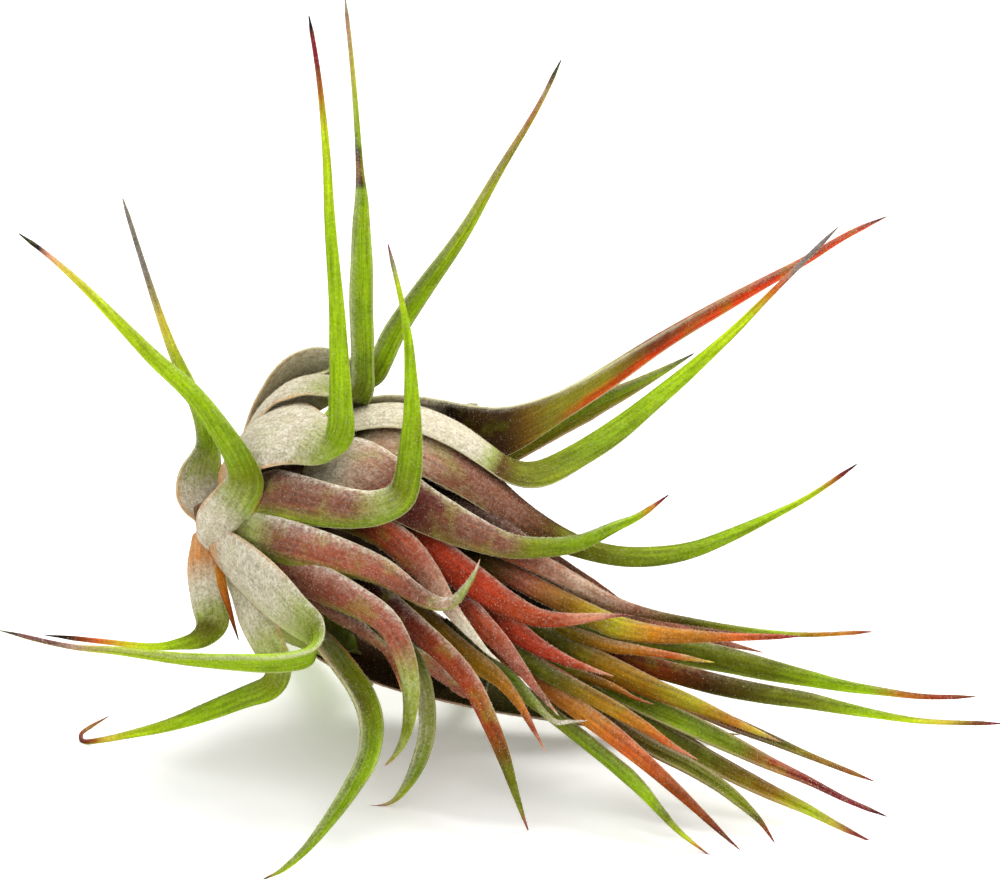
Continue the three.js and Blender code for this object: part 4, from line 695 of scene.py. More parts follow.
def curve_points(points, places):
    """A smooth line through the points, with steps measured by the root of each span's length."""
    points = [np.array(p, float) for p in points]
    last = len(points) - 1
    out = []
    for t in places:
        at = t * last
        k = min(int(math.floor(at)), last - 1)
        w = at - k
        p1, p2 = points[k], points[k + 1]
        p0 = points[k - 1] if k > 0 else 2.0 * points[0] - points[1]
        p3 = points[k + 2] if k + 2 <= last else 2.0 * points[last] - points[last - 1]
        d1 = float(np.dot(p2 - p1, p2 - p1)) ** 0.25 or 1.0
        d0 = float(np.dot(p1 - p0, p1 - p0)) ** 0.25 or d1
        d2 = float(np.dot(p3 - p2, p3 - p2)) ** 0.25 or d1
        t1 = ((p1 - p0) / d0 - (p2 - p0) / (d0 + d1) + (p2 - p1) / d1) * d1
        t2 = ((p2 - p1) / d1 - (p3 - p1) / (d1 + d2) + (p3 - p2) / d2) * d1
        c2 = -3.0 * p1 + 3.0 * p2 - 2.0 * t1 - t2
        c3 = 2.0 * p1 - 2.0 * p2 + t1 + t2
        out.append(p1 + t1 * w + c2 * w * w + c3 * w * w * w)
    return np.array(out)


def smooth_route(route):
    points = [to_part(*row[:3]) for row in route]
    places = [i / ROUTE_STEPS for i in range(ROUTE_STEPS + 1)]
    line = curve_points(points, places)
    last = len(route) - 1
    seen = []
    for t in places:
        at = min(last - 1e-9, t * last)
        k = int(math.floor(at))
        near = mix(route[k][2], route[k + 1][2], at - k)
        width = mix(route[k][3], route[k + 1][3], at - k)
        seen.append(width * (EYE_DISTANCE - near) / EYE_DISTANCE)
    for axis in range(3):
        line[:, axis] = softened(line[:, axis], 4)
    return line, softened(seen, 4)


def frames(line, seen, twist):
    n = len(line)
    after = np.minimum(np.arange(n) + 1, n - 1)
    before = np.maximum(np.arange(n) - 1, 0)
    along = unit(line[after] - line[before])
    widest = int(np.argmax(seen))
    hollow = np.zeros_like(line)
    towards = nearest_on_stem(line[widest]) - line[widest]
    hollow[widest] = unit(towards - along[widest] * np.dot(towards, along[widest]))

    def carry(a, b):
        turn = Vector(along[a]).rotation_difference(Vector(along[b]))
        v = np.array(turn @ Vector(hollow[a]))
        hollow[b] = unit(v - along[b] * np.dot(v, along[b]))

    for i in range(widest, n - 1):
        carry(i, i + 1)
    for i in range(widest, 0, -1):
        carry(i, i - 1)
    degrees, start, complete = twist
    turn = np.radians(degrees) * smooth_step(start, complete, np.arange(n) / (n - 1))[:, None]
    hollow = hollow * np.cos(turn) + np.cross(along, hollow) * np.sin(turn)
    return along, hollow, np.cross(along, hollow)


def section_widths(line, seen, along, hollow, side):
    flat = smooth_step(BLADE_WIDTH, SHEATH_WIDTH, seen)
    depth = mix(BLADE_DEPTH, SHEATH_DEPTH, flat)
    across = unit(np.cross(unit(line - EYE), along))
    share = np.hypot((side * across).sum(1), depth * (hollow * across).sum(1))
    widths = seen * np.minimum(WIDEST_TURN, 1.0 / np.maximum(0.2, share))
    widths = softened(widths, 12)
    n = len(line)
    after = np.minimum(np.arange(n) + 1, n - 1)
    before = np.maximum(np.arange(n) - 1, 0)
    step = np.maximum(np.linalg.norm(line[after] - line[before], axis=1), 1e-6)
    curl = np.abs((((along[after] - along[before]) / step[:, None]) * side).sum(1))
    widths = np.minimum(widths, CURL_ROOM / np.maximum(curl, 1e-6))
    return np.maximum(softened(widths, 6), TIP_WIDTH)


def finer(values, steps):
    """The same course with each step split, on a smooth line."""
    n = len(values)
    places = np.arange((n - 1) * steps + 1) / float((n - 1) * steps)
    rows = [np.atleast_1d(v) for v in values]
    return curve_points(rows, places)


def leaf_mesh(name, route, seed):
    draw = random.Random(seed)
    line, seen = smooth_route(route)
    along, hollow, side = frames(line, seen, TWISTS.get(name, [0.0, 0.0, 1.0]))
    widths = section_widths(line, seen, along, hollow, side)
    line = finer(line, FINE_STEPS)
    along = unit(finer(along, FINE_STEPS))
    hollow = finer(hollow, FINE_STEPS)
    hollow = unit(hollow - along * (hollow * along).sum(1)[:, None])
    side = np.cross(along, hollow)
    widths = finer(widths, FINE_STEPS)[:, 0]
    n = len(line)
    t = np.linspace(0.0, 1.0, n)
    length = np.concatenate([[0.0], np.cumsum(np.linalg.norm(np.diff(line, axis=0), axis=1))])
    # The last stretch runs out to a fine point.
    left = length[-1] - length
    widths = np.minimum(widths, TIP_WIDTH * TIP_SHARE + TIP_TAPER * left)

    flat = smooth_step(BLADE_WIDTH, SHEATH_WIDTH, widths)
    arc = mix(BLADE_ARC, SHEATH_ARC, flat)
    middle = mix(BLADE_THICKNESS, SHEATH_THICKNESS, flat)
    middle = np.minimum(middle, THIN_BLADE[0] * widths + THIN_BLADE[1])
    middle = np.minimum(middle, THIN_TIP[1] + THIN_TIP[0] * widths)
    edge = np.minimum(FINE_MARGIN_THICKNESS, 0.5 * middle)
    radius = widths / 2.0 / np.sin(arc)
    half_depth = 0.5 * (radius * (1.0 - np.cos(arc)) + 0.5 * middle)
    # A slow waviness of the two margins.
    waves = [
        (draw.uniform(0.25, 0.6), draw.uniform(0, 6.28), draw.uniform(0.3, 1.0)) for _ in range(4)
    ]
    wave = sum(a * np.sin(f * length + p) for f, p, a in waves)
    wave = wave * WAVE_DEPTH * np.minimum(1.0, widths / 4.0)

    outer_turns = np.sin(np.linspace(-math.pi / 2, math.pi / 2, OUTER_POINTS))
    hollow_turns = np.sin(np.linspace(math.pi / 2, -math.pi / 2, HOLLOW_POINTS))
    turns = np.concatenate([outer_turns, hollow_turns])
    is_outer = np.concatenate([np.ones(OUTER_POINTS), np.zeros(HOLLOW_POINTS)])
    size = len(turns)
    verts = np.zeros((n, size, 3))
    for j, (turn, outer) in enumerate(zip(turns, is_outer)):
        angle = turn * arc
        lift = wave * abs(turn) ** 3 * (1 if turn > 0 else -0.7)
        if outer:
            r = radius - 0.18 * edge * abs(turn) ** 8
        else:
            thick = mix(edge, middle, 1.0 - turn * turn)
            r = np.maximum(radius - thick, 0.02)
        out = radius - r * np.cos(angle) - half_depth + lift
        verts[:, j] = line + hollow * out[:, None] + side * (r * np.sin(angle))[:, None]
    verts[..., 2] = np.maximum(verts[..., 2], 0.0)
    points = verts.reshape(-1, 3)
    faces = []
    for r in range(n - 1):
        for i in range(size):
            a = r * size + i
            b = r * size + (i + 1) % size
            faces.append((a, b, b + size, a + size))
    root = line[0] - along[0] * 0.05
    tip = line[-1] + along[-1] * 0.35
    tip[2] = max(tip[2], 0.0)
    points = np.vstack([points, root, tip])
    for i in range(size):
        j = (i + 1) % size
        faces.append((j, i, n * size))
        faces.append(((n - 1) * size + i, (n - 1) * size + j, n * size + 1))
    mesh = bpy.data.meshes.new(name)
    mesh.from_pydata((points * MM).tolist(), [], faces)
    if turned_volume(points, faces[: (n - 1) * size]) < 0:
        mesh.flip_normals()
    mesh.update()
    for polygon in mesh.polygons:
        polygon.use_smooth = True

    # Place on the leaf, for the materials.
    place = np.repeat(t, size)
    turn_of = np.tile(turns, n)
    outer_of = np.tile(is_outer, n)
    width_of = np.repeat(widths, size)
    facing = np.repeat((side * unit(np.array(SHADED))).sum(1), size)
    put = [
        ("place", np.concatenate([place, [0.0, 1.0]])),
        ("upper", np.concatenate([turn_of * facing, [0.0, 0.0]])),
        ("from_margin", np.concatenate([(1.0 - np.abs(turn_of)) * width_of * 0.6, [1.0, 0.0]])),
        ("outer", np.concatenate([outer_of, [1.0, 1.0]])),
        ("across_mm", np.concatenate([turn_of * width_of * 0.6, [0.0, 0.0]])),
        ("along_mm", np.concatenate([np.repeat(length, size), [0.0, length[-1]]])),
        ("breadth", np.concatenate([width_of, [widths[0], 0.2]])),
    ]
    for key, values in put:
        attribute = mesh.attributes.new(key, "FLOAT", "POINT")
        attribute.data.foreach_set("value", values.astype(np.float32))
    tint(mesh, name, put)
    return mesh


def turned_volume(points, faces):
    """From every third face. Only its sign counts: below zero, the faces look inwards."""
    first = points[0]
    total = 0.0
    for f in faces[::3]:
        a, b, c = points[f[0]], points[f[1]], points[f[2]]
        total += float(np.dot(a - first, np.cross(b - first, c - first)))
    return total


def tint_course(name):
    if name in TINTS:
        return TINTS[name]
    ring, number = name.rsplit("_", 1)
    return TINTS[HIDDEN_TINTS[ring][int(number) - 1]]


def tint(mesh, name, put):
    """The pigment and the share of scales at each point: the course along the leaf, a frosted upper
    side with painted shade on blades, a greener lower side that is partly painted light, and painted
    shade on the hollow face and at the root."""
    values = dict(put)
    course = tint_course(name)
    more, dark, lower_name, lower_part, start, end = ACROSS.get(name, ACROSS[slot_of(name)])
    at = np.array([c[0] for c in course])
    stops = np.array([linear(PIGMENTS[c[1]][0]) + [PIGMENTS[c[1]][1]] for c in course])
    place, upper = values["place"], values["upper"]
    colour = np.stack([np.interp(place, at, stops[:, k]) for k in range(3)], 1)
    cover = np.interp(place, at, stops[:, 3])
    blade = 1.0 - smooth_step(2.6, 4.8, values["breadth"])

    # Painted light along the lower side: greener, brighter pigment, partly the leaf's own margin and
    # partly light shining through.
    low = smooth_step(0.15, 0.65, -upper) * lower_part
    low = low * smooth_step(start - 0.12, start, place) * (1.0 - smooth_step(end - 0.2, end, place))
    colour = mix(colour, np.array(linear(PIGMENTS[lower_name][0])), low[:, None])
    # Painted shade on the upper side of blades, and more scales there, partly painted light on the
    # felt.
    high = smooth_step(0.1, 0.9, upper)
    colour = colour * mix(1.0, mix(1.0, dark, blade), high)[:, None]
    cover = cover * (1.0 - 0.6 * low)
    cover = cover + more * high * smooth_step(0.0, 0.08, 1.0 - place) * mix(1.0, 0.35, blade)
    # a fringe of scales along the margin on that side, partly painted light on the felt
    fringe = (1.0 - smooth_step(0.2, 1.0, values["from_margin"])) * smooth_step(-0.1, 0.4, upper)
    cover = cover + FRINGE[slot_of(name)] * fringe * mix(1.0, 0.3, blade)
    # Painted shade on the hollow face.
    inner = (1.0 - values["outer"])[:, None]
    colour = colour * (1.0 - 0.15 * inner)
    if slot_of(name) == "outer_leaf":
        # The old sheaths have dried to tan along their margins.
        dried = 1.0 - smooth_step(0.1, 0.7, values["from_margin"])
        dried = 0.8 * dried * (1.0 - smooth_step(0.16, 0.3, place))
        colour = mix(colour, np.array(linear(PIGMENTS["tan"][0])), dried[:, None])
        cover = cover * (1.0 - 0.7 * dried)
    # Painted shade at the root, where the neighbours close over it.
    root = mix(ROOT_SHADE[slot_of(name)], 1.0, smooth_step(0.0, 0.2, place))
    colour = colour * root[:, None]
    cover = cover * root
    layer = mesh.attributes.new("tint", "FLOAT_COLOR", "POINT")
    rgba = np.concatenate([colour, np.ones((len(colour), 1))], 1).astype(np.float32)
    layer.data.foreach_set("color", rgba.ravel())
    layer = mesh.attributes.new("cover", "FLOAT", "POINT")
    layer.data.foreach_set("value", np.clip(cover, 0.0, 1.0).astype(np.float32))


# ---- the hidden leaves' routes
def draws(seed):
    state = seed & 0xFFFFFFFF

    def draw():
        nonlocal state
        state = (state + 0x6D2B79F5) & 0xFFFFFFFF
        t = state
        t = ((t ^ (t >> 15)) * (t | 1)) & 0xFFFFFFFF
        t ^= (t + ((t ^ (t >> 7)) * (t | 61) & 0xFFFFFFFF)) & 0xFFFFFFFF
        return ((t ^ (t >> 14)) & 0xFFFFFFFF) / 4294967296.0

    return draw


def hidden_routes():
    draw = draws(HIDDEN_SEED)

    def jitter(size):
        return size * (2.0 * draw() - 1.0)

    routes = {}
    for ring in HIDDEN_RINGS:
        for i in range(ring["count"]):
            angle = math.radians(ring["first"] + ring["step"] * i + jitter(3.0))
            up = math.sin(angle)
            near = math.cos(angle)

            def off(p, out):
                return [p[0], p[1] + out * up, p[2] + out * near]

            reach, spread = ring["reach"], ring["spread"]
            end = [reach[0] + jitter(spread[0]), reach[1] + spread[1] * up]
            end.append(reach[2] + jitter(spread[2]))
            lip = off(ring["shoulder"], ring["shoulder_out"] + 2.5)
            lip[0] += 3.0

            def between(t, lift):
                return [
                    mix(lip[0], end[0], t) + lift,
                    mix(lip[1], end[1], t) + 0.4 * lift * up,
                    mix(lip[2], end[2], t) + 0.2 * lift,
                ]

            routes[f"{ring['name']}_{i + 1}"] = [
                off(ring["seat"], ring["seat_out"]) + [0.62 * ring["sheath"]],
                off(ring["waist"], ring["waist_out"]) + [ring["sheath"]],
                off(ring["shoulder"], ring["shoulder_out"]) + [0.74 * ring["sheath"]],
                lip + [1.25 * ring["blade"]],
                between(0.25, 2.2) + [ring["blade"]],
                between(0.5, 2.2) + [0.78 * ring["blade"]],
                between(0.76, 1.2) + [0.48 * ring["blade"]],
                end + [0.6],
            ]
    for name, (front, root, tip, wide, narrow, length) in HIDDEN_BEHIND.items():
        route = LEAVES[front]
        kept = int(math.floor((len(route) - 1) * length + 0.5))
        rows = []
        for k, (a, u, n, w) in enumerate(route[: kept + 1]):
            t = k / kept
            rows.append([a, u, n - mix(root, tip, t), max(0.6, w * mix(wide, narrow, t))])
        routes[name] = rows
    return {**routes, **HIDDEN_UNDER, **HIDDEN_CROWN}


# ---- materials
def add(tree, kind, links=None, **settings):
    """One node with its settings, and its inputs linked or filled in."""
    node = tree.nodes.new(kind)
    for key, value in settings.items():
        setattr(node, key, value)
    for key, value in (links or {}).items():
        socket = node.inputs[key]
        if isinstance(value, bpy.types.NodeSocket):
            tree.links.new(value, socket)
        else:
            socket.default_value = value
    return node


def ramp(tree, fac, stops):
    node = add(tree, "ShaderNodeValToRGB", {"Fac": fac})
    elements = node.color_ramp.elements
    while len(elements) > 1:
        elements.remove(elements[-1])
    for i, (at, value) in enumerate(stops):
        element = elements[0] if i == 0 else elements.new(at)
        element.position = at
        element.color = (value, value, value, 1.0) if isinstance(value, float) else (*value, 1.0)
    return node.outputs["Color"]


def leaf_material(name, rim_hex, rim_part, fleck_part, green_part=0.0):
    """Living leaf, thick and smooth, under a felt of silver scales that drink water: a dull, softly
    frosted face, paler where the scales are crowded and darker where they are worn off, with a thin
    pale margin."""
    material = bpy.data.materials.new(name)
    material.use_nodes = True
    tree = material.node_tree
    tree.nodes.clear()

    def value(key, output="Fac"):
        return add(tree, "ShaderNodeAttribute", attribute_name=key).outputs[output]

    def calc(operation, a, b=0.0, clamp=False):
        return add(
            tree, "ShaderNodeMath", {0: a, 1: b}, operation=operation, use_clamp=clamp
        ).outputs[0]

    def noise(vector, detail, rough):
        return add(
            tree, "ShaderNodeTexNoise",
            {"Vector": vector, "Scale": 1.0, "Detail": detail, "Roughness": rough},
        ).outputs["Fac"]

    def scaled(vector, x, y, z):
        return add(tree, "ShaderNodeMapping", {"Vector": vector, "Scale": (x, y, z)}).outputs[0]

    def blend(part, a, b):
        return add(
            tree, "ShaderNodeMix", {0: part, 6: a, 7: b}, data_type="RGBA"
        ).outputs[2]

    from_margin = value("from_margin")
    coords = add(tree, "ShaderNodeTexCoord").outputs["Object"]
    on_leaf = add(
        tree, "ShaderNodeCombineXYZ", {"X": value("across_mm"), "Y": value("along_mm")}
    ).outputs[0]

    # Slow changes of colour, about 4 mm across, blotches of about 1 mm and mottling of 0.35 mm.
    cloud = noise(scaled(coords, 1 / 0.004, 1 / 0.004, 1 / 0.004), 2.0, 0.5)
    blotch = noise(scaled(coords, 1 / 0.001, 1 / 0.001, 1 / 0.001), 3.0, 0.6)
    mottle = noise(scaled(coords, 1 / 0.00035, 1 / 0.00035, 1 / 0.00035), 2.0, 0.6)
    # Fine lines along the leaf, about 0.42 mm apart and twenty times as long.
    lines = noise(scaled(on_leaf, 1 / 0.42, 1 / 8.0, 1.0), 2.0, 0.5)
    # The scales: flecks 0.35 mm apart across and 0.45 mm along, each with its own whiteness. Their
    # size is a guess, as the photograph is too coarse to show them one by one.
    fleck = add(
        tree, "ShaderNodeTexVoronoi",
        {"Vector": scaled(on_leaf, 1 / 0.35, 1 / 0.45, 1.0), "Scale": 1.0, "Randomness": 0.9},
    )
    dots = ramp(tree, fleck.outputs["Distance"], [(0.12, 1.0), (0.42, 0.0)])
    pick = add(
        tree, "ShaderNodeTexWhiteNoise", {"Vector": fleck.outputs["Position"]}, noise_dimensions="3D"
    ).outputs["Value"]
    flecks = calc("MULTIPLY", dots, calc("POWER", pick, 1.4))

    # Scales are worn off in blotches, and where there are few they show as separate flecks.
    worn = ramp(tree, blotch, [(0.38, 0.25), (0.6, 1.0)])
    crowd = calc("MULTIPLY", value("cover"), calc("ADD", calc("MULTIPLY", worn, 0.8), 0.35), True)
    grain = ramp(tree, mottle, [(0.36, 0.0), (0.64, 1.0)])
    silver_part = calc("MULTIPLY", crowd, calc("ADD", calc("MULTIPLY", grain, 0.8), 0.42), True)
    single = calc("MULTIPLY", flecks, calc("ADD", calc("MULTIPLY", crowd, 1.6), fleck_part), True)
    silver_part = calc("MAXIMUM", silver_part, single, True)

    lighter = calc("ADD", calc("MULTIPLY", lines, 1.5), 0.25)
    lighter = calc("MULTIPLY", lighter, calc("ADD", calc("MULTIPLY", cloud, 0.8), 0.6))
    lighter = calc("MULTIPLY", lighter, calc("ADD", calc("MULTIPLY", mottle, 0.8), 0.6))
    green = calc("MULTIPLY", ramp(tree, cloud, [(0.54, 0.0), (0.66, 1.0)]), green_part)
    flushed = blend(green, value("tint", "Color"), (*linear(PIGMENTS["moss"][0]), 1.0))
    toned = add(
        tree, "ShaderNodeVectorMath", {0: flushed, "Scale": lighter}, operation="SCALE"
    ).outputs[0]
    colour = blend(silver_part, toned, (*linear(SILVER), 1.0))
    broad = calc("POWER", calc("MULTIPLY", value("breadth"), 0.21, True), 1.6)
    rim = calc("MULTIPLY", ramp(tree, from_margin, [(0.04, 1.0), (0.16, 0.0)]), rim_part)
    rim = calc("MULTIPLY", rim, broad)
    colour = blend(rim, colour, (*linear(rim_hex), 1.0))

    height = calc("ADD", calc("MULTIPLY", flecks, 0.4), calc("MULTIPLY", lines, 0.6))
    height = calc("ADD", height, calc("ADD", blotch, calc("MULTIPLY", mottle, 0.6)))
    bump = add(
        tree, "ShaderNodeBump", {"Height": height, "Strength": 0.7, "Distance": 0.0002}
    ).outputs[0]
    shader = add(
        tree, "ShaderNodeBsdfPrincipled",
        {
            "Base Color": colour, "Roughness": 0.62, "IOR": 1.4, "Specular IOR Level": 0.12,
            "Normal": bump,
        },
    )
    output = add(tree, "ShaderNodeOutputMaterial")
    tree.links.new(shader.outputs[0], output.inputs["Surface"])
    return material


LEAF_MATERIALS = {
    "outer_leaf": leaf_material("frosted outer leaf", CREAM, 0.4, 0.12, 0.3),
    "middle_leaf": leaf_material("frosted middle leaf", CREAM, 0.6, 0.14, 0.4),
    "inner_leaf": leaf_material("flushed inner leaf", PINK, 0.8, 0.28),
    "heart_leaf": leaf_material("young heart leaf", PINK, 0.6, 0.08, 0.35),
    # dead and dried out: few scales are left on it, and its margins are hardly paler
    "dry_leaf": leaf_material("papery dry leaf", CREAM, 0.1, 0.0),
}


def slot_of(name):
    for key in ("outer", "middle", "inner", "heart"):
        if key in name:
            return key + "_leaf"
    return "dry_leaf"


ROUTES = {**LEAVES, **hidden_routes()}
LEAF_PIECES = {slot: [] for slot in LEAF_MATERIALS}
for number, (name, route) in enumerate(ROUTES.items()):
    mesh = leaf_mesh(name, route, 700 + number)
    piece = bpy.data.objects.new("fine_" + name, mesh)
    bpy.context.scene.collection.objects.link(piece)
    mesh.materials.append(LEAF_MATERIALS[slot_of(name)])
    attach(piece, "root")
    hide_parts(name)
    LEAF_PIECES[slot_of(name)].append(piece)


# ---- scales that stand off the leaves
def scale_tree():
    """Fine pointed scales over the faces of leaves: crowded along their margins, where they make a
    pale fringe, and where the cover is thick."""
    tree = bpy.data.node_groups.new("standing scales", "GeometryNodeTree")
    sockets = (
        ("Leaves", "INPUT", "NodeSocketGeometry", None),
        ("Crowding", "INPUT", "NodeSocketFloat", 6e6),  # most scales on a square metre
        ("Length", "INPUT", "NodeSocketFloat", 0.0002),
        ("Width", "INPUT", "NodeSocketFloat", 0.00006),
        ("Lean", "INPUT", "NodeSocketFloat", 0.9),
        ("Seed", "INPUT", "NodeSocketInt", 1),
        ("Scales", "OUTPUT", "NodeSocketGeometry", None),
    )
    for name, side, kind, start in sockets:
        socket = tree.interface.new_socket(name, in_out=side, socket_type=kind)
        if start is not None:
            socket.default_value = start
    given = add(tree, "NodeGroupInput").outputs

    def named(key):
        return add(
            tree, "GeometryNodeInputNamedAttribute", {"Name": key}, data_type="FLOAT"
        ).outputs["Attribute"]

    def calc(operation, a, b=0.0, clamp=False):
        return add(
            tree, "ShaderNodeMath", {0: a, 1: b}, operation=operation, use_clamp=clamp
        ).outputs[0]

    fringe = calc("SUBTRACT", 1.0, calc("MULTIPLY", named("from_margin"), 2.6), True)
    share = calc("ADD", calc("MULTIPLY", fringe, 0.9), calc("MULTIPLY", named("cover"), 0.45))
    share = calc("ADD", share, 0.1, True)
    height = add(tree, "ShaderNodeSeparateXYZ", {0: add(tree, "GeometryNodeInputPosition").outputs[0]})
    clear = calc("GREATER_THAN", height.outputs["Z"], 0.0006)  # none under the plant's rest points
    points = add(
        tree, "GeometryNodeDistributePointsOnFaces",
        {
            "Mesh": given["Leaves"],
            "Density": calc("MULTIPLY", calc("MULTIPLY", share, clear), given["Crowding"]),
            "Seed": given["Seed"],
        },
    ).outputs
    scale = add(
        tree, "GeometryNodeMeshCone",
        {
            "Vertices": 3, "Side Segments": 1, "Fill Segments": 1, "Radius Top": 0.0,
            "Radius Bottom": calc("MULTIPLY", given["Width"], 0.5), "Depth": given["Length"],
        },
        fill_type="NGON",
    ).outputs["Mesh"]
    least = add(
        tree, "ShaderNodeCombineXYZ",
        {k: calc("MULTIPLY", given["Lean"], -1.0) for k in ("X", "Y")},
    ).outputs[0]
    most = add(tree, "ShaderNodeCombineXYZ", {k: given["Lean"] for k in ("X", "Y")}).outputs[0]
    lean = add(
        tree, "FunctionNodeRandomValue", {0: least, 1: most, "Seed": given["Seed"]},
        data_type="FLOAT_VECTOR",
    ).outputs[0]
    turned = add(
        tree, "FunctionNodeRotateRotation", {"Rotation": points["Rotation"], "Rotate By": lean},
        rotation_space="LOCAL",
    ).outputs[0]
    size = add(
        tree, "FunctionNodeRandomValue", {2: 0.6, 3: 1.3, "Seed": calc("ADD", given["Seed"], 1.0)},
        data_type="FLOAT",
    ).outputs[1]
    placed = add(
        tree, "GeometryNodeInstanceOnPoints",
        {"Points": points["Points"], "Instance": scale, "Rotation": turned, "Scale": size},
    ).outputs[0]
    real = add(tree, "GeometryNodeRealizeInstances", {"Geometry": placed}).outputs[0]
    coated = add(tree, "GeometryNodeSetMaterial", {"Geometry": real, "Material": SCALE_MATERIAL})
    out = add(tree, "NodeGroupOutput")
    tree.links.new(coated.outputs[0], out.inputs["Scales"])
    return tree


def scale_material():
    """Dead, air-filled scales: silvery white and dull."""
    material = bpy.data.materials.new("silver scales")
    material.use_nodes = True
    tree = material.node_tree
    tree.nodes.clear()
    coords = add(tree, "ShaderNodeTexCoord").outputs["Object"]
    near = add(tree, "ShaderNodeMapping", {"Vector": coords, "Scale": (900.0, 900.0, 900.0)}).outputs[0]
    patch = add(
        tree, "ShaderNodeTexNoise", {"Vector": near, "Scale": 1.0, "Detail": 2.0}
    ).outputs["Fac"]
    colour = ramp(
        tree, patch, [(0.35, tuple(linear("#B8AA8C"))), (0.65, tuple(linear("#E6DCC8")))]
    )
    shader = add(tree, "ShaderNodeBsdfPrincipled", {"Base Color": colour, "Roughness": 0.7})
    output = add(tree, "ShaderNodeOutputMaterial")
    tree.links.new(shader.outputs[0], output.inputs["Surface"])
    return material


SCALE_MATERIAL = scale_material()
SCALE_TREE = scale_tree()
INPUTS = {item.name: item.identifier for item in SCALE_TREE.interface.items_tree}
# for each kind of leaf: scales on a square millimetre at the most, and their seed
SCALES = {
    "outer_leaf": (14.0, 31),
    "middle_leaf": (17.0, 32),
    "inner_leaf": (22.0, 33),
    "heart_leaf": (12.0, 34),
}


def joined(slot):
    """The leaves of one kind as one mesh, with what the scales read."""
    rows, faces, values = [], [], {"from_margin": [], "cover": []}
    for leaf in LEAF_PIECES[slot]:
        mesh = leaf.data
        first = len(rows)
        rows += [tuple(v.co) for v in mesh.vertices]
        faces += [tuple(first + i for i in f.vertices) for f in mesh.polygons]
        for key, numbers in values.items():
            numbers += [item.value for item in mesh.attributes[key].data]
    mesh = bpy.data.meshes.new("leaves of " + slot)
    mesh.from_pydata(rows, [], faces)
    for key, numbers in values.items():
        mesh.attributes.new(key, "FLOAT", "POINT").data.foreach_set("value", numbers)
    return mesh


for slot, (most, seed) in SCALES.items():
    base = bpy.data.objects.new("base_" + slot, joined(slot))
    bpy.context.scene.collection.objects.link(base)
    grown = base.modifiers.new("scales", "NODES")
    grown.node_group = SCALE_TREE
    grown[INPUTS["Crowding"]] = most * 1e6
    grown[INPUTS["Seed"]] = seed
    sight = bpy.context.evaluated_depsgraph_get()
    mesh = bpy.data.meshes.new_from_object(base.evaluated_get(sight), depsgraph=sight)
    bpy.data.objects.remove(base)
    mesh.name = "scales of " + slot
    piece = bpy.data.objects.new("scales_" + slot, mesh)
    bpy.context.scene.collection.objects.link(piece)
    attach(piece, "root")


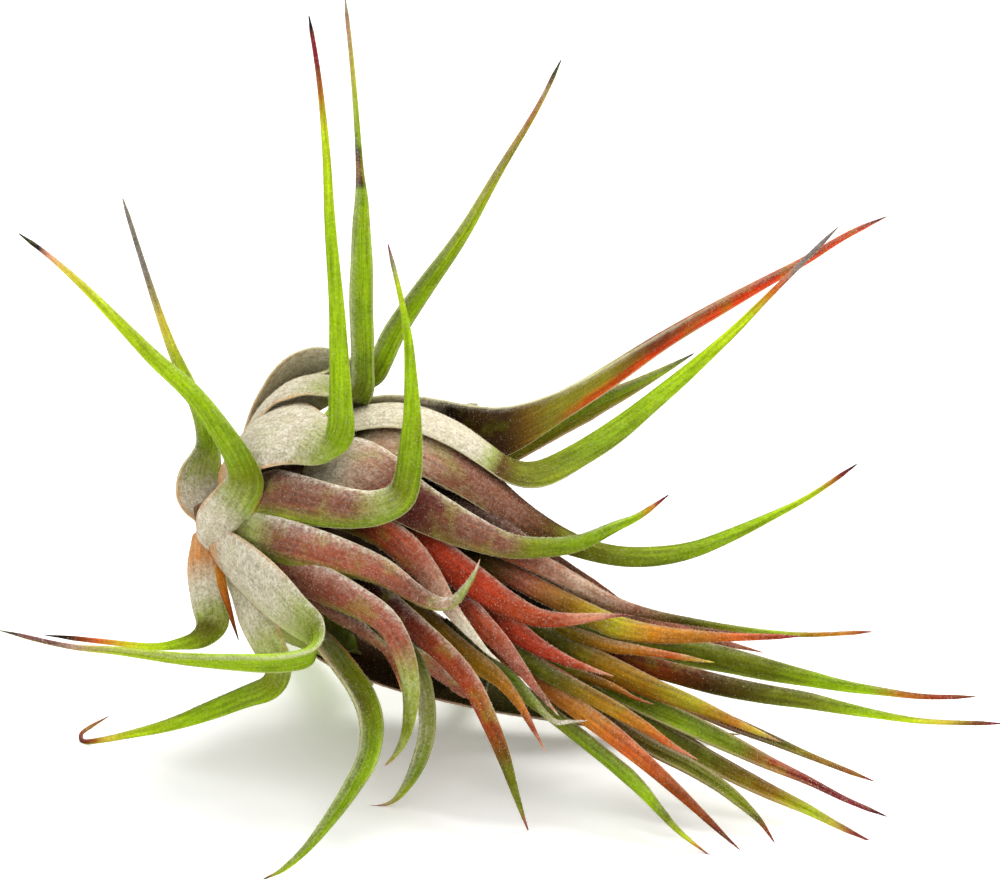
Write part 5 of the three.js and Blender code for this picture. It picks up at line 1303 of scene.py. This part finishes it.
# ---- stem
def stem_material():
    """Old plant stem with dried leaf bases: fibrous, matt, brown, darker in its furrows, and with
    painted shade towards the crown, where the leaves close over it."""
    material = bpy.data.materials.new("fibrous stem")
    material.use_nodes = True
    tree = material.node_tree
    tree.nodes.clear()
    coords = add(tree, "ShaderNodeTexCoord").outputs["Object"]
    long = add(tree, "ShaderNodeMapping", {"Vector": coords, "Scale": (250.0, 900.0, 900.0)}).outputs[0]
    fibre = add(
        tree, "ShaderNodeTexNoise", {"Vector": long, "Scale": 1.0, "Detail": 5.0, "Roughness": 0.65}
    ).outputs["Fac"]
    browns = ((0.3, "#4A3527"), (0.5, "#7A5C44"), (0.7, "#A58C70"))
    colour = ramp(tree, fibre, [(at, tuple(linear(brown))) for at, brown in browns])
    # Painted shade: darker towards the crown, where the leaves close over it.
    apart = add(tree, "ShaderNodeSeparateXYZ", {"Vector": coords}).outputs["X"]
    shade = add(
        tree, "ShaderNodeMapRange",
        {"Value": apart, "From Min": -0.036, "From Max": -0.012, "To Min": 1.0, "To Max": 0.16},
    ).outputs[0]
    colour = add(
        tree, "ShaderNodeVectorMath", {0: colour, "Scale": shade}, operation="SCALE"
    ).outputs[0]
    bump = add(
        tree, "ShaderNodeBump", {"Height": fibre, "Strength": 0.6, "Distance": 0.0003}
    ).outputs[0]
    shader = add(
        tree, "ShaderNodeBsdfPrincipled", {"Base Color": colour, "Roughness": 0.85, "Normal": bump}
    )
    output = add(tree, "ShaderNodeOutputMaterial")
    tree.links.new(shader.outputs[0], output.inputs["Surface"])
    return material


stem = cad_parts["stem"]
stem.data.materials.clear()
stem.data.materials.append(stem_material())

# ---- pale surface and soft light
floor_mesh = bpy.data.meshes.new("surface")
FLOOR = 3.0  # metres from its middle to each side
corners = [(-FLOOR, -FLOOR, 0), (FLOOR, -FLOOR, 0), (FLOOR, FLOOR, 0), (-FLOOR, FLOOR, 0)]
floor_mesh.from_pydata(corners, [], [(0, 1, 2, 3)])
surface = bpy.data.objects.new("surface", floor_mesh)
bpy.context.scene.collection.objects.link(surface)
paper = bpy.data.materials.new("white card")
paper.use_nodes = True
paper_shader = paper.node_tree.nodes["Principled BSDF"]
paper_shader.inputs["Base Color"].default_value = (0.9, 0.9, 0.9, 1.0)
paper_shader.inputs["Roughness"].default_value = 0.35
paper_shader.inputs["Emission Color"].default_value = (1.0, 1.0, 0.98, 1.0)
paper_shader.inputs["Emission Strength"].default_value = 0.22
floor_mesh.materials.append(paper)

world = bpy.data.worlds.new("white room")
world.use_nodes = True
world.node_tree.nodes["Background"].inputs["Color"].default_value = (1.0, 1.0, 1.0, 1.0)
world.node_tree.nodes["Background"].inputs["Strength"].default_value = 0.17
bpy.context.scene.world = world


def soft_light(name, place, strength, spread, colour):
    """Light from the direction of a place, as even as from a big window far away."""
    data = bpy.data.lights.new(name, "SUN")
    data.energy = strength
    data.angle = math.radians(spread)
    data.color = colour
    light = bpy.data.objects.new(name, data)
    light.location = place
    light.rotation_euler = Vector(place).to_track_quat("Z", "Y").to_euler()
    bpy.context.scene.collection.objects.link(light)


WINDOW = {"place": (0.35, 0.4, 0.9), "strength": 2.7, "spread": 35.0, "colour": (1.0, 0.99, 0.97)}
CEILING = {"place": (-0.25, -0.5, 1.0), "strength": 1.9, "spread": 80.0, "colour": (1.0, 1.0, 1.0)}
soft_light("window", **WINDOW)
soft_light("ceiling", **CEILING)

bpy.context.scene.view_settings.view_transform = "Standard"
bpy.context.scene.view_settings.look = "Medium High Contrast"
